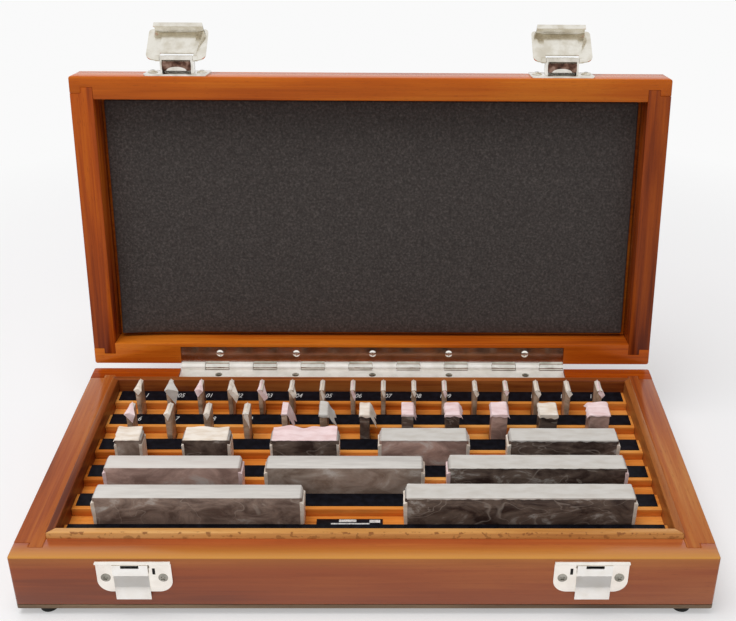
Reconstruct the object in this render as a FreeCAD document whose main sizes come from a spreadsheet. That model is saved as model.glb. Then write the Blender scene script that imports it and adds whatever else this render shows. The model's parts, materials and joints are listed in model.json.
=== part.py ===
"""Boxed set of 38 gauge blocks: a hinged wooden case with a slotted tray, as a parametric document.

Frame: +X right, +Y to the hinge side, +Z up, millimetres. The origin is on the table, under the
middle of the open set. Pieces of the lid and of its levers are drawn shut, and their Placement
then turns them open.
"""
import FreeCAD, Part
import math
import os
import re

import Sketcher

SIZES = {
    # case
    "case_width": 302.0,
    "case_depth": 154.4,
    "foot_height": 3.0,
    "foot_radius": 4.5,
    "foot_inset": 5.2,
    "sheet_board": 2.5,
    "wall_height": 26.0,
    "wall": 13.0,
    "lid_wall": 11.5,
    "lid_wall_height": 16.5,
    "joint_step": 3.0,
    "tongue_width": 6.0,
    "corner_round": 1.2,
    "edge_chamfer": 0.5,
    "closing_gap": 0.2,
    "lid_open_angle": 98.3,
    # lining, tray and foam
    "lining": 3.5,
    "lining_proud": 2.7,
    "tray_drop": 8.6,
    "rib_rise": 4.0,
    "groove_play": 0.58,
    "label_edge": 2.2,
    "label_thick": 0.3,
    "label_short": 1.5,
    "tag_left": 8.0,
    "tag_length": 30.0,
    "tag_width": 6.0,
    "tag_thick": 0.5,
    "foam_thick": 4.6,
    "foam_margin": 2.0,
    # blocks in their paper
    "short_section": 30.0,
    "long_section": 35.0,
    "block_thick": 9.0,
    "paper": 0.4,
    "thin_paper": 0.7,
    "end_fold": 1.0,
    "fold_inset": 1.2,
    "ridge": 0.6,
    "ridge_width": 0.4,
    "slot_play": 0.3,
    "end_share": 0.265,
    "row_shift": 0.8,
    # hinge
    "hinge_length": 208.0,
    "knuckle_radius": 2.5,
    "knuckle_bore": 1.4,
    "hinge_pin_radius": 1.3,
    "hinge_play": 0.3,
    "axis_behind": 1.8,
    "leaf_reach": 11.0,
    "leaf_thick": 1.1,
    "leaf_sunk": 0.6,
    "leaf_root": 1.6,
    "leaf_screw_pitch": 41.5,
    "leaf_screw_back": 7.5,
    # screws
    "small_head": 1.9,
    "small_head_rise": 0.42,
    "catch_head": 2.1,
    "catch_head_rise": 0.6,
    "clasp_head": 2.6,
    "clasp_head_rise": 1.3,
    "head_crown": 0.6,
    # catch on the base
    "latch_inset_left": 53.0,
    "latch_inset_right": 54.8,
    "plate_thick": 1.0,
    "plate_corner": 0.8,
    "catch_width": 32.0,
    "catch_top": 1.0,
    "catch_bottom": 17.6,
    "catch_round": 6.0,
    "bead_height": 0.8,
    "bead_proud": 1.4,
    "catch_screw_out": 12.2,
    "catch_screw_drop": 9.8,
    "side_slot_out": 8.4,
    "side_slot_width": 1.2,
    "side_slot_top": 4.8,
    "side_slot_length": 3.4,
    "strip_sheet": 0.6,
    "strip_width": 15.0,
    "strip_shift": 1.2,
    "strip_top": 1.8,
    "hump_slope": 0.3,
    "hump_ledge": 7.7,
    "hump_rise": 2.4,
    "strip_bottom": 21.4,
    "key_slot_width": 7.7,
    "key_slot_top": 2.2,
    "key_slot_height": 1.6,
    # clasp on the lid
    "clasp_width": 32.0,
    "clasp_bottom": 1.0,
    "clasp_top": 17.0,
    "clasp_corner": 1.5,
    "clasp_screw_out": 12.4,
    "clasp_screw_rise": 8.5,
    "hood_width": 16.4,
    "hood_rise": 8.9,
    "hood_start": 6.2,
    "hood_end": 13.5,
    "hood_round": 2.0,
    "pivot_rise": 7.6,
    "pivot_out": 8.0,
    "pivot_knuckle": 1.4,
    "pivot_bore": 0.75,
    "pivot_pin_radius": 0.7,
    "spring_sheet": 0.8,
    "lever_width": 30.0,
    "lever_flat": 17.4,
    "lever_slope": 1.6,
    "lever_tail": 1.6,
    "lever_notch": 3.4,
    "lever_reach": 18.3,
    "lever_eye": 2.2,
    "eye_play": 0.2,
    "lever_round": 2.8,
    "hook_width": 24.6,
    "hook_depth": 6.6,
    "hook_lip": 2.6,
    "lever_open_angle": 138.7,
}

# Nominal lengths of the gauge blocks, row by row from the hinge side to the front.
HUNDREDTHS = [1.0 + 0.01 * step for step in range(1, 10)]
TENTHS = [1.0 + 0.1 * step for step in range(1, 10)]
ROWS = [
    [1.0, 1.005] + HUNDREDTHS + TENTHS[:5],
    TENTHS[5:] + [2.0, 3.0, 4.0, 5.0, 6.0, 7.0, 8.0, 9.0],
    [10.0, 20.0, 30.0, 40.0, 50.0],
    [60.0, 70.0, 80.0],
    [90.0, 100.0],
]
THIN_BELOW = 2.0
SHORT_SECTION_TO = 10.0
FOLDED_ENDS_FROM = 10.0
KNUCKLES = 16

X = FreeCAD.Vector(1, 0, 0)
Y = FreeCAD.Vector(0, 1, 0)
Z = FreeCAD.Vector(0, 0, 1)
SIDES = {"left": -1, "right": 1}


def turned(across, up, degrees):
    """A point of the YZ plane turned about +X."""
    angle = math.radians(degrees)
    return (
        across * math.cos(angle) - up * math.sin(angle),
        across * math.sin(angle) + up * math.cos(angle),
    )


def front_of_case():
    """Y of the case's front face that centres the open set between the catch and the lever's tip."""
    axis = SIZES["case_depth"] + SIZES["axis_behind"]
    pivot = turned(
        -axis - SIZES["pivot_out"],
        SIZES["pivot_rise"] + SIZES["closing_gap"] / 2,
        -SIZES["lid_open_angle"],
    )
    tip = turned(
        -SIZES["spring_sheet"] / 2,
        -SIZES["lever_reach"],
        -SIZES["lid_open_angle"] - SIZES["lever_open_angle"],
    )
    return -(axis + pivot[0] + tip[0] - SIZES["hump_rise"]) / 2


SIZES["front_y"] = front_of_case()

doc = FreeCAD.newDocument("gauge_block_set")
sheet = doc.addObject("Spreadsheet::Sheet", "Sizes")
for line, (alias, amount) in enumerate(SIZES.items(), 1):
    sheet.set("A%d" % line, alias)
    sheet.set("B%d" % line, str(amount))
    sheet.setAlias("B%d" % line, alias)
doc.recompute()

NODES = {}

# Levels and places that several pieces share.
BACK = "(front_y + case_depth)"
FLOOR = "(foot_height + sheet_board)"
RIM = "(foot_height + sheet_board + wall_height)"
LEDGE = "(foot_height + sheet_board + wall_height - tray_drop)"
LID_RIM = "(foot_height + sheet_board + wall_height + closing_gap)"
LID_TOP = "(foot_height + sheet_board + wall_height + closing_gap + lid_wall_height)"
AXIS_Y = "(front_y + case_depth + axis_behind)"
AXIS_Z = "(foot_height + sheet_board + wall_height + closing_gap / 2)"
PIVOT_Y = "(front_y - pivot_out)"
PIVOT_Z = "(foot_height + sheet_board + wall_height + closing_gap + pivot_rise)"
HALF_INSIDE = "(case_width / 2 - wall - lining)"
TRAY_FRONT = "(front_y + wall + lining)"
TRAY_DEPTH = "(case_depth - 2 * wall - 2 * lining)"
GROOVE = "(block_thick + 2 * paper + 2 * groove_play)"
RIB = "((%s - %d * %s) / %d)" % (TRAY_DEPTH, len(ROWS), GROOVE, len(ROWS) + 1)
KNUCKLE = "(hinge_length / %d)" % KNUCKLES
LATCH_X = {
    "left": "(-case_width / 2 + latch_inset_left)",
    "right": "(case_width / 2 - latch_inset_right)",
}
BLOCK_TOP = "(foot_height + sheet_board + long_section + 2 * paper)"


# ---------------------------------------------------------------- ways to make things


def bound(text):
    """Turn 'case_width / 2' into an expression that reads the sheet."""
    return re.sub(r"\b([a-z]+(?:_[a-z]+)*)\b(?!\()", r"Sizes.\1", text)


def number(text):
    """The present value of such a text."""
    return float(sheet.evalExpression(bound(text)))


def bind_place(thing, place):
    for letter, text in zip("xyz", place):
        thing.setExpression("Placement.Base." + letter, bound(text))


def box(name, place, extent):
    """A block from its lowest corner and its three lengths, all as texts."""
    thing = doc.addObject("Part::Box", name)
    for key, text in zip(("Length", "Width", "Height"), extent):
        thing.setExpression(key, bound(text))
    bind_place(thing, place)
    return thing


TOWARDS = {
    "+X": FreeCAD.Rotation(Y, 90),
    "-X": FreeCAD.Rotation(Y, -90),
    "+Y": FreeCAD.Rotation(X, -90),
    "-Y": FreeCAD.Rotation(X, 90),
    "+Z": FreeCAD.Rotation(),
    "-Z": FreeCAD.Rotation(X, 180),
}


def bar(name, place, radius, length, towards):
    """A cylinder that starts at place and runs along an axis."""
    thing = doc.addObject("Part::Cylinder", name)
    thing.setExpression("Radius", bound(radius))
    thing.setExpression("Height", bound(length))
    thing.Placement.Rotation = TOWARDS[towards]
    bind_place(thing, place)
    return thing


def taper(name, place, base, top, rise, rotation):
    """A tapered block: base and top are half lengths in X and Z, and it rises along its own Y."""
    thing = doc.addObject("Part::Wedge", name)
    limits = {
        "Xmin": "-" + base[0],
        "Xmax": base[0],
        "Zmin": "-" + base[1],
        "Zmax": base[1],
        "X2min": "-" + top[0],
        "X2max": top[0],
        "Z2min": "-" + top[1],
        "Z2max": top[1],
        "Ymin": "0",
        "Ymax": rise,
    }
    for key, text in limits.items():
        thing.setExpression(key, bound(text))
    thing.Placement.Rotation = rotation
    bind_place(thing, place)
    return thing


def fuse(name, parts):
    thing = doc.addObject("Part::MultiFuse", name)
    thing.Shapes = parts
    return thing


def group(name, parts):
    """Several separate solids of one kind in one node."""
    thing = doc.addObject("Part::Compound", name)
    thing.Links = parts
    return thing


def cut(name, base, tools):
    thing = doc.addObject("Part::Cut", name)
    thing.Base = base
    thing.Tool = tools[0] if len(tools) == 1 else fuse(name + "_tools", tools)
    return thing


def chosen_edges(thing, wanted):
    """Numbers of the edges whose course and middle point answer to wanted."""
    doc.recompute()
    found = []
    for count, edge in enumerate(thing.Shape.Edges, 1):
        middle = edge.valueAt((edge.FirstParameter + edge.LastParameter) / 2)
        if wanted(edge, middle):
            found.append(count)
    return found


def soften(name, base, radius, wanted):
    """Round chosen edges of a primitive or boolean."""
    thing = doc.addObject("Part::Fillet", name)
    edges = chosen_edges(base, wanted)
    thing.Base = base
    thing.Edges = [(count, number(radius), number(radius)) for count in edges]
    return thing


def runs_along(edge, axis):
    """Whether an edge is straight and parallel to an axis."""
    return isinstance(edge.Curve, Part.Line) and abs(edge.Curve.Direction.dot(axis)) > 0.999


def near(amount, text):
    return abs(amount - number(text)) < 0.01


def keep(label, thing, rides="case"):
    thing.Label = label
    NODES[label] = (thing, rides)
    return thing


# Sketches and features of a PartDesign body.


def new_body(name, place=("0", "0", "0")):
    body = doc.addObject("PartDesign::Body", name)
    body.Placement.Base = FreeCAD.Vector(*[number(text) for text in place])
    return body


def plane(body, role):
    return [item for item in body.Origin.OriginFeatures if item.Role == role][0]


def tie(sketch, kind, geometry, end, text):
    amount = number(text)
    constraint = sketch.addConstraint(Sketcher.Constraint(kind, -1, 1, geometry, end, amount))
    sketch.setExpression("Constraints[%d]" % constraint, bound(text))


def outline(body, name, role, corners=(), circles=(), offset="0"):
    """A closed sketch on one of the body's own planes, each corner and circle tied to the sheet."""
    sketch = body.newObject("Sketcher::SketchObject", name)
    sketch.AttachmentSupport = [(plane(body, role), "")]
    sketch.MapMode = "FlatFace"
    sketch.setExpression("AttachmentOffset.Base.z", bound(offset))
    points = [FreeCAD.Vector(number(across), number(up), 0) for across, up in corners]
    for start, end in zip(points, points[1:] + points[:1]):
        sketch.addGeometry(Part.LineSegment(start, end), False)
    for line in range(len(points)):
        follower = (line + 1) % len(points)
        sketch.addConstraint(Sketcher.Constraint("Coincident", line, 2, follower, 1))
    for line, (across, up) in enumerate(corners):
        tie(sketch, "DistanceX", line, 1, across)
        tie(sketch, "DistanceY", line, 1, up)
    for across, up, radius in circles:
        centre = FreeCAD.Vector(number(across), number(up), 0)
        curve = sketch.addGeometry(Part.Circle(centre, Z, number(radius)), False)
        tie(sketch, "DistanceX", curve, 3, across)
        tie(sketch, "DistanceY", curve, 3, up)
        ring = sketch.addConstraint(Sketcher.Constraint("Radius", curve, number(radius)))
        sketch.setExpression("Constraints[%d]" % ring, bound(radius))
    return sketch


def rectangle(left, right, low, high):
    return [(left, low), (right, low), (right, high), (left, high)]


def pad(body, name, sketch, length, both_ways=True):
    thing = body.newObject("PartDesign::Pad", name)
    thing.Profile = sketch
    thing.setExpression("Length", bound(length))
    thing.Midplane = both_ways
    return thing


def pocket(body, name, sketch, length):
    """Cut a sketch out on both sides of its plane."""
    thing = body.newObject("PartDesign::Pocket", name)
    thing.Profile = sketch
    thing.setExpression("Length", bound(length))
    thing.Midplane = True
    return thing


def repeat_along_x(body, name, feature, spacing, count):
    doc.recompute()
    thing = body.newObject("PartDesign::LinearPattern", name)
    thing.Originals = [feature]
    thing.Direction = (plane(body, "X_Axis"), [""])
    thing.setExpression("Length", bound("%s * %d" % (spacing, count - 1)))
    thing.Occurrences = count
    body.Tip = thing
    return thing


def bend(body, name, radius, wanted):
    """Round chosen edges of the body's last feature."""
    last = body.Tip
    edges = chosen_edges(last, wanted)
    thing = body.newObject("PartDesign::Fillet", name)
    thing.Base = (last, ["Edge%d" % count for count in edges])
    thing.setExpression("Radius", bound(radius))
    return thing


def screw_head(name, place, radius, rise, towards):
    """The crowned head of a wood screw: place is on the plate's outer face."""
    head = doc.addObject("Part::Cone", name)
    head.setExpression("Radius1", bound(radius))
    head.setExpression("Radius2", bound(radius + " * head_crown"))
    head.setExpression("Height", bound(rise))
    head.Placement.Rotation = TOWARDS[towards]
    bind_place(head, place)
    return head


# ---------------------------------------------------------------- case and lid boards


def four_walls(prefix, thick, bottom, high, rides):
    """Boards with stepped corner joints: the side boards' tongues sit in notches of the long ones."""
    half = "case_width / 2"
    boards = {}
    for name, outer, inward in (("front", "front_y", 1), ("rear", BACK, -1)):
        plain = box(
            prefix + "_" + name + "_plain",
            ("-" + half, outer if inward == 1 else "%s - %s" % (outer, thick), bottom),
            ("case_width", thick, high),
        )
        notches = []
        for side, sign in SIDES.items():
            inner_x = "%s - %s" % (half, thick)
            for step, (reach, width) in enumerate((("0", thick), ("joint_step", "tongue_width"))):
                start = "(%s - joint_step - %s)" % (thick, reach)
                from_outer = "%s + %s" if inward == 1 else "%s - %s - joint_step"
                low_y = from_outer % (outer, start)
                low_x = inner_x if sign == 1 else "-(%s) - %s" % (inner_x, width)
                notches.append(
                    box(
                        "%s_%s_notch_%s_%d" % (prefix, name, side, step),
                        (low_x, low_y, bottom),
                        (width, "joint_step", high),
                    )
                )
        boards[name] = cut(prefix + "_" + name + "_jointed", plain, notches)
    for side, sign in SIDES.items():
        long_start = "%s - joint_step" % thick
        outer_x = "%s - %s" % (half, thick) if sign == 1 else "-" + half
        core = box(
            "%s_%s_core" % (prefix, side),
            (outer_x, "front_y + " + long_start, bottom),
            (thick, "case_depth - 2 * (%s)" % long_start, high),
        )
        tongue_x = outer_x if sign == 1 else "-(%s - %s) - tongue_width" % (half, thick)
        tongue = box(
            "%s_%s_tongue" % (prefix, side),
            (tongue_x, "front_y + %s - joint_step" % long_start, bottom),
            ("tongue_width", "case_depth - 2 * (%s - joint_step)" % long_start, high),
        )
        keep("%s_%s_board" % (prefix, side), fuse("%s_%s_board" % (prefix, side), [core, tongue]), rides)
    return boards


def outer_corner(edge, middle):
    return runs_along(edge, Z) and near(abs(middle.x), "case_width / 2")


def long_board(prefix, name, board, tools, rides):
    """The hinge's mortise first, then the rounded outer corners."""
    machined = cut("%s_%s_machined" % (prefix, name), board, tools) if tools else board
    outer = "front_y" if name == "front" else BACK

    def at_corner(edge, middle):
        return outer_corner(edge, middle) and near(middle.y, outer)

    keep(
        "%s_%s_board" % (prefix, name),
        soften("%s_%s_board" % (prefix, name), machined, "corner_round", at_corner),
        rides,
    )


def leaf_screw_places():
    return ["leaf_screw_pitch * %d" % step for step in range(-2, 3)]


def barrel_room(prefix):
    """The round hollow that the hinge barrel turns in."""
    return bar(
        prefix + "_barrel_room",
        ("-hinge_length / 2 - hinge_play", AXIS_Y, AXIS_Z),
        "knuckle_radius + hinge_play + 0.1",
        "hinge_length + 2 * hinge_play",
        "+X",
    )


def mortise(prefix, low_z):
    return box(
        prefix + "_mortise",
        ("-hinge_length / 2 - hinge_play", AXIS_Y + " - leaf_reach - hinge_play", low_z),
        ("hinge_length + 2 * hinge_play", "leaf_reach", "leaf_sunk + leaf_thick - closing_gap / 2"),
    )


base_walls = four_walls("base", "wall", FLOOR, "wall_height", "case")
lid_walls = four_walls("lid", "lid_wall", LID_RIM, "lid_wall_height", "lid")

base_rear_tools = [mortise("base", AXIS_Z + " - leaf_sunk - leaf_thick"), barrel_room("base")]
lid_rear_tools = [mortise("lid", LID_RIM), barrel_room("lid")]
long_board("base", "front", base_walls["front"], [], "case")
long_board("base", "rear", base_walls["rear"], base_rear_tools, "case")
long_board("lid", "front", lid_walls["front"], [], "lid")
long_board("lid", "rear", lid_walls["rear"], lid_rear_tools, "lid")


def thin_board(label, low, outside, rides):
    """The bottom board or the lid's panel, with rounded corners and a small chamfer round its outer face."""
    plain = box(
        label + "_plain",
        ("-case_width / 2", "front_y", low),
        ("case_width", "case_depth", "sheet_board"),
    )
    rounded = soften(label + "_rounded", plain, "corner_round", lambda edge, middle: runs_along(edge, Z))
    edges = chosen_edges(rounded, lambda edge, middle: near(middle.z, outside))
    broken = doc.addObject("Part::Chamfer", label)
    broken.Base = rounded
    broken.Edges = [(count, number("edge_chamfer"), number("edge_chamfer")) for count in edges]
    keep(label, broken, rides)


thin_board("base_bottom_board", "foot_height", "foot_height", "case")
thin_board("lid_panel", LID_TOP, LID_TOP + " + sheet_board", "lid")

# ---------------------------------------------------------------- rubber feet

feet = []
for sign_x in (-1, 1):
    for place_y in ("front_y + foot_inset", BACK + " - foot_inset"):
        foot = doc.addObject("Part::Cone", "foot")
        foot.setExpression("Radius1", bound("foot_radius - 0.6"))
        foot.setExpression("Radius2", bound("foot_radius"))
        foot.setExpression("Height", bound("foot_height"))
        bind_place(foot, ("%d * (case_width / 2 - 2.4 * foot_inset)" % sign_x, place_y, "0"))
        feet.append(foot)
keep("rubber_feet", group("rubber_feet", feet))

# ---------------------------------------------------------------- lining, mitred at the corners


def lining_strip(name, outer_half, place, angle):
    """A strip whose ends are cut at 45 degrees; its own Y points into the case."""
    thing = doc.addObject("Part::Wedge", "lining_" + name)
    limits = {
        "Xmin": "-(%s)" % outer_half,
        "Xmax": outer_half,
        "X2min": "-(%s - lining)" % outer_half,
        "X2max": "%s - lining" % outer_half,
        "Ymin": "0",
        "Ymax": "lining",
        "Zmin": "0",
        "Z2min": "0",
        "Zmax": "wall_height + lining_proud",
        "Z2max": "wall_height + lining_proud",
    }
    for key, text in limits.items():
        thing.setExpression(key, bound(text))
    thing.Placement.Rotation = FreeCAD.Rotation(Z, angle)
    bind_place(thing, place)
    keep("lining_" + name, thing)


half_long = "case_width / 2 - wall"
half_short = "case_depth / 2 - wall"
middle_y = "front_y + case_depth / 2"
lining_strip("front", half_long, ("0", "front_y + wall", FLOOR), 0)
lining_strip("rear", half_long, ("0", BACK + " - wall", FLOOR), 180)
lining_strip("left", half_short, ("-(%s)" % half_long, middle_y, FLOOR), -90)
lining_strip("right", half_short, (half_long, middle_y, FLOOR), 90)

# ---------------------------------------------------------------- blocks and their slots


def paper_of(length):
    return "thin_paper" if length < THIN_BELOW else "paper"


def wrapped_lengths(row):
    return ["(%s + 2 * %s)" % (length, paper_of(length)) for length in row]


# The fullest row sets the margin at the ends of every row.
FULLEST = max(ROWS, key=sum)
MARGIN = "(end_share * (2 * %s - %s))" % (HALF_INSIDE, " - ".join(wrapped_lengths(FULLEST)))


def block_places(row):
    """Left edge of each wrapped block: the row fills its groove with even gaps."""
    lengths = wrapped_lengths(row)
    spare = "(2 * %s - 2 * %s - %s)" % (HALF_INSIDE, MARGIN, " - ".join(lengths))
    places = []
    for count in range(len(row)):
        taken = "".join(" + " + text for text in lengths[:count])
        gaps = "%d * %s / %d" % (count, spare, len(row) - 1)
        places.append("-%s - row_shift + %s%s + %s" % (HALF_INSIDE, MARGIN, taken, gaps))
    return places


def groove_middle(row_number):
    """Y of the middle of a groove; row 0 is the one at the hinge side."""
    from_front = len(ROWS) - 1 - row_number
    return "%s + (%d + 1) * %s + (%d + 0.5) * %s" % (TRAY_FRONT, from_front, RIB, from_front, GROOVE)


def wrapped_block(name, length, left, middle):
    """A gauge block in its folded paper: a crisp packet with folded ends, or a ridge on a thin one."""
    wrap = paper_of(length)
    section = "short_section" if length <= SHORT_SECTION_TO else "long_section"
    high = "(%s + 2 * paper)" % section
    long_x = "(%s + 2 * %s)" % (length, wrap)
    deep = "(block_thick + 2 * paper)"
    low = "%s - %s" % (BLOCK_TOP, high)
    parts = [box(name + "_packet", (left, "%s - %s / 2" % (middle, deep), low), (long_x, deep, high))]
    if length < THIN_BELOW:
        parts.append(
            taper(
                name + "_ridge",
                ("%s + %s / 2" % (left, long_x), middle, BLOCK_TOP),
                ("%s / 2" % long_x, "%s / 2" % deep),
                ("ridge_width / 2", "%s / 2" % deep),
                "ridge",
                FreeCAD.Rotation(X, 90),
            )
        )
    if length >= FOLDED_ENDS_FROM:
        half_high = "%s / 2" % high
        for sign, start in ((-1, left), (1, "%s + %s" % (left, long_x))):
            parts.append(
                taper(
                    "%s_fold_%s" % (name, "left" if sign < 0 else "right"),
                    (start, middle, "%s + %s" % (low, half_high)),
                    ("%s / 2" % deep, half_high),
                    ("(%s / 2 - fold_inset)" % deep, "(%s - fold_inset)" % half_high),
                    "end_fold",
                    FreeCAD.Rotation(Z, -90 * sign),
                )
            )
    return fuse(name, parts) if len(parts) > 1 else parts[0]


def slot_for(name, length, left, middle):
    """A pocket in the slot board with play round the packet; those of the tall blocks go right through."""
    wrap = paper_of(length)
    section = "short_section" if length <= SHORT_SECTION_TO else "long_section"
    ends = "(slot_play + end_fold)" if length >= FOLDED_ENDS_FROM else "slot_play"
    low = "%s - %s - 2 * paper" % (BLOCK_TOP, section)
    return box(
        name + "_slot",
        ("%s - %s" % (left, ends), "%s - block_thick / 2 - paper - slot_play" % middle, low),
        (
            "%s + 2 * %s + 2 * (%s)" % (length, wrap, ends),
            "block_thick + 2 * paper + 2 * slot_play",
            "tray_drop + 50",
        ),
    )


def plain_name(length):
    return ("block_%g" % length).replace(".", "_")


hundredths = []
tenths = []
slots = []
for row_number, row in enumerate(ROWS):
    middle = groove_middle(row_number)
    for length, left in zip(row, block_places(row)):
        name = plain_name(length)
        block = wrapped_block(name, length, left, middle)
        slots.append(slot_for(name, length, left, middle))
        if length in HUNDREDTHS:
            hundredths.append(block)
        elif length in TENTHS:
            tenths.append(block)
        else:
            keep(name, block)
keep("blocks_1_01_to_1_09", group("blocks_1_01_to_1_09", hundredths))
keep("blocks_1_1_to_1_9", group("blocks_1_1_to_1_9", tenths))

# ---------------------------------------------------------------- tray

slot_blank = box(
    "slot_blank",
    ("-" + HALF_INSIDE, TRAY_FRONT, FLOOR),
    ("2 * " + HALF_INSIDE, TRAY_DEPTH, "wall_height - tray_drop"),
)
keep("slot_board", cut("slot_board", slot_blank, slots))

ribs = []
labels = []
for count in range(len(ROWS) + 1):
    rib_y = "%s + %d * (%s + %s)" % (TRAY_FRONT, count, RIB, GROOVE)
    ribs.append(box("rib", ("-" + HALF_INSIDE, rib_y, LEDGE), ("2 * " + HALF_INSIDE, RIB, "rib_rise")))
    labels.append(
        box(
            "label",
            ("-%s + label_short" % HALF_INSIDE, rib_y + " + label_edge", LEDGE + " + rib_rise"),
            ("2 * %s - 2 * label_short" % HALF_INSIDE, RIB + " - label_edge", "label_thick"),
        )
    )
keep("tray_ribs", group("tray_ribs", ribs))
keep("label_strips", group("label_strips", labels))

tag_y = "%s - tag_width / 2" % groove_middle(len(ROWS) - 1)
tag_at = ("-tag_length / 2 - tag_left", tag_y, LEDGE)
keep("blank_tag", box("blank_tag", tag_at, ("tag_length", "tag_width", "tag_thick")))

# ---------------------------------------------------------------- foam in the lid

foam_blank = box(
    "foam_blank",
    (
        "-case_width / 2 + lid_wall + foam_margin",
        "front_y + lid_wall + foam_margin",
        LID_TOP + " - foam_thick",
    ),
    (
        "case_width - 2 * lid_wall - 2 * foam_margin",
        "case_depth - 2 * lid_wall - 2 * foam_margin",
        "foam_thick",
    ),
)
foam_pad = soften("foam_pad", foam_blank, "corner_round", lambda edge, middle: runs_along(edge, Z))
keep("foam_pad", foam_pad, "lid")

# ---------------------------------------------------------------- hinge


def hinge_leaf(label, up, first, rides):
    """A leaf and its rolled knuckles, drawn about the hinge axis; the other leaf's knuckles are cut away."""
    body = new_body(label, ("0", AXIS_Y, AXIS_Z))
    near_z = "%d * leaf_sunk" % up
    far_z = "%d * (leaf_sunk + leaf_thick)" % up
    low, high = (near_z, far_z) if up > 0 else (far_z, near_z)
    flat = outline(body, label + "_flat", "YZ_Plane", rectangle("-leaf_reach", "-leaf_root", low, high))
    pad(body, label + "_leaf", flat, "hinge_length")
    roll = outline(
        body,
        label + "_roll",
        "YZ_Plane",
        circles=(("0", "0", "knuckle_radius"), ("0", "0", "knuckle_bore")),
    )
    pad(body, label + "_barrel", roll, "hinge_length")
    start = "-hinge_length / 2 + %d * %s" % (1 - first, KNUCKLE)
    gap = outline(
        body,
        label + "_gap",
        "XY_Plane",
        rectangle(
            start + " - hinge_play / 2",
            "%s + %s + hinge_play / 2" % (start, KNUCKLE),
            "-knuckle_radius - hinge_play",
            "knuckle_radius + hinge_play",
        ),
    )
    first_gap = pocket(body, label + "_first_gap", gap, "4 * knuckle_radius")
    repeat_along_x(body, label + "_gaps", first_gap, "2 * " + KNUCKLE, KNUCKLES // 2)
    keep(label, body, rides)


hinge_leaf("base_hinge_leaf", -1, 0, "case")
hinge_leaf("lid_hinge_leaf", 1, 1, "lid")
keep(
    "hinge_pin",
    bar("hinge_pin", ("-hinge_length / 2", AXIS_Y, AXIS_Z), "hinge_pin_radius", "hinge_length", "+X"),
)

base_leaf_screws = []
lid_leaf_screws = []
for across in leaf_screw_places():
    screw_y = AXIS_Y + " - leaf_screw_back"
    on_base = (across, screw_y, AXIS_Z + " - leaf_sunk")
    on_lid = (across, screw_y, AXIS_Z + " + leaf_sunk")
    base_leaf_screws.append(screw_head("base_leaf_screw", on_base, "small_head", "small_head_rise", "+Z"))
    lid_leaf_screws.append(screw_head("lid_leaf_screw", on_lid, "small_head", "small_head_rise", "-Z"))
keep("base_hinge_screws", group("base_hinge_screws", base_leaf_screws))
keep("lid_hinge_screws", group("lid_hinge_screws", lid_leaf_screws), "lid")

# ---------------------------------------------------------------- catches on the base


def catch_plate(side, sign):
    """A stamped plate with a folded bead along its top, a slot and two screw holes."""
    label = "catch_plate_" + side
    body = new_body(label, (LATCH_X[side], "front_y", RIM))
    half = "catch_width / 2"
    face = outline(
        body, label + "_face", "XZ_Plane", rectangle("-" + half, half, "-catch_bottom", "-catch_top")
    )
    pad(body, label + "_plate", face, "plate_thick", both_ways=False)
    bend(
        body,
        label + "_low_corners",
        "catch_round",
        lambda edge, middle: runs_along(edge, Y) and near(middle.z, "-catch_bottom"),
    )
    bead = outline(
        body,
        label + "_bead_face",
        "XZ_Plane",
        rectangle("-" + half, half, "-catch_top - bead_height", "-catch_top"),
    )
    pad(body, label + "_bead", bead, "plate_thick + bead_proud", both_ways=False)
    inner = "%d * side_slot_out" % -sign
    cuts = outline(
        body,
        label + "_openings",
        "XZ_Plane",
        rectangle(
            "%s - side_slot_width / 2" % inner,
            "%s + side_slot_width / 2" % inner,
            "-side_slot_top - side_slot_length",
            "-side_slot_top",
        ),
    )
    pocket(body, label + "_cuts", cuts, "6 * plate_thick")
    keep(label, body)


def catch_strip(side, sign):
    """A sprung strip: a hollow hump with a slot, a ledge that the hook catches, and a free tongue."""
    label = "catch_strip_" + side
    body = new_body(label, ("%s + %d * strip_shift" % (LATCH_X[side], sign), "front_y", RIM))
    back = "-plate_thick"
    face = "-plate_thick - strip_sheet"
    inside = "-hump_rise + strip_sheet"
    section = outline(
        body,
        label + "_section",
        "YZ_Plane",
        [
            (back, "-strip_top"),
            ("-hump_rise", "-strip_top - hump_slope"),
            ("-hump_rise", "-hump_ledge"),
            (face, "-hump_ledge"),
            (face, "-strip_bottom"),
            (back, "-strip_bottom"),
            (back, "-hump_ledge + strip_sheet"),
            (inside, "-hump_ledge + strip_sheet"),
            (inside, "-strip_top - hump_slope - strip_sheet"),
            (back, "-strip_top - strip_sheet"),
        ],
    )
    pad(body, label + "_strip", section, "strip_width")
    slot = outline(
        body,
        label + "_slot_face",
        "XZ_Plane",
        rectangle(
            "-key_slot_width / 2",
            "key_slot_width / 2",
            "-key_slot_top - key_slot_height",
            "-key_slot_top",
        ),
    )
    pocket(body, label + "_slot", slot, "3 * hump_rise")
    keep(label, body)


catch_screws = []
for side, sign in SIDES.items():
    catch_plate(side, sign)
    catch_strip(side, sign)
    for end in (-1, 1):
        across = "%s + %d * catch_screw_out" % (LATCH_X[side], end)
        at = (across, "front_y - plate_thick", RIM + " - catch_screw_drop")
        catch_screws.append(screw_head("catch_screw", at, "catch_head", "catch_head_rise", "-Y"))
keep("catch_screws", group("catch_screws", catch_screws))

# ---------------------------------------------------------------- clasps on the lid


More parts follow.
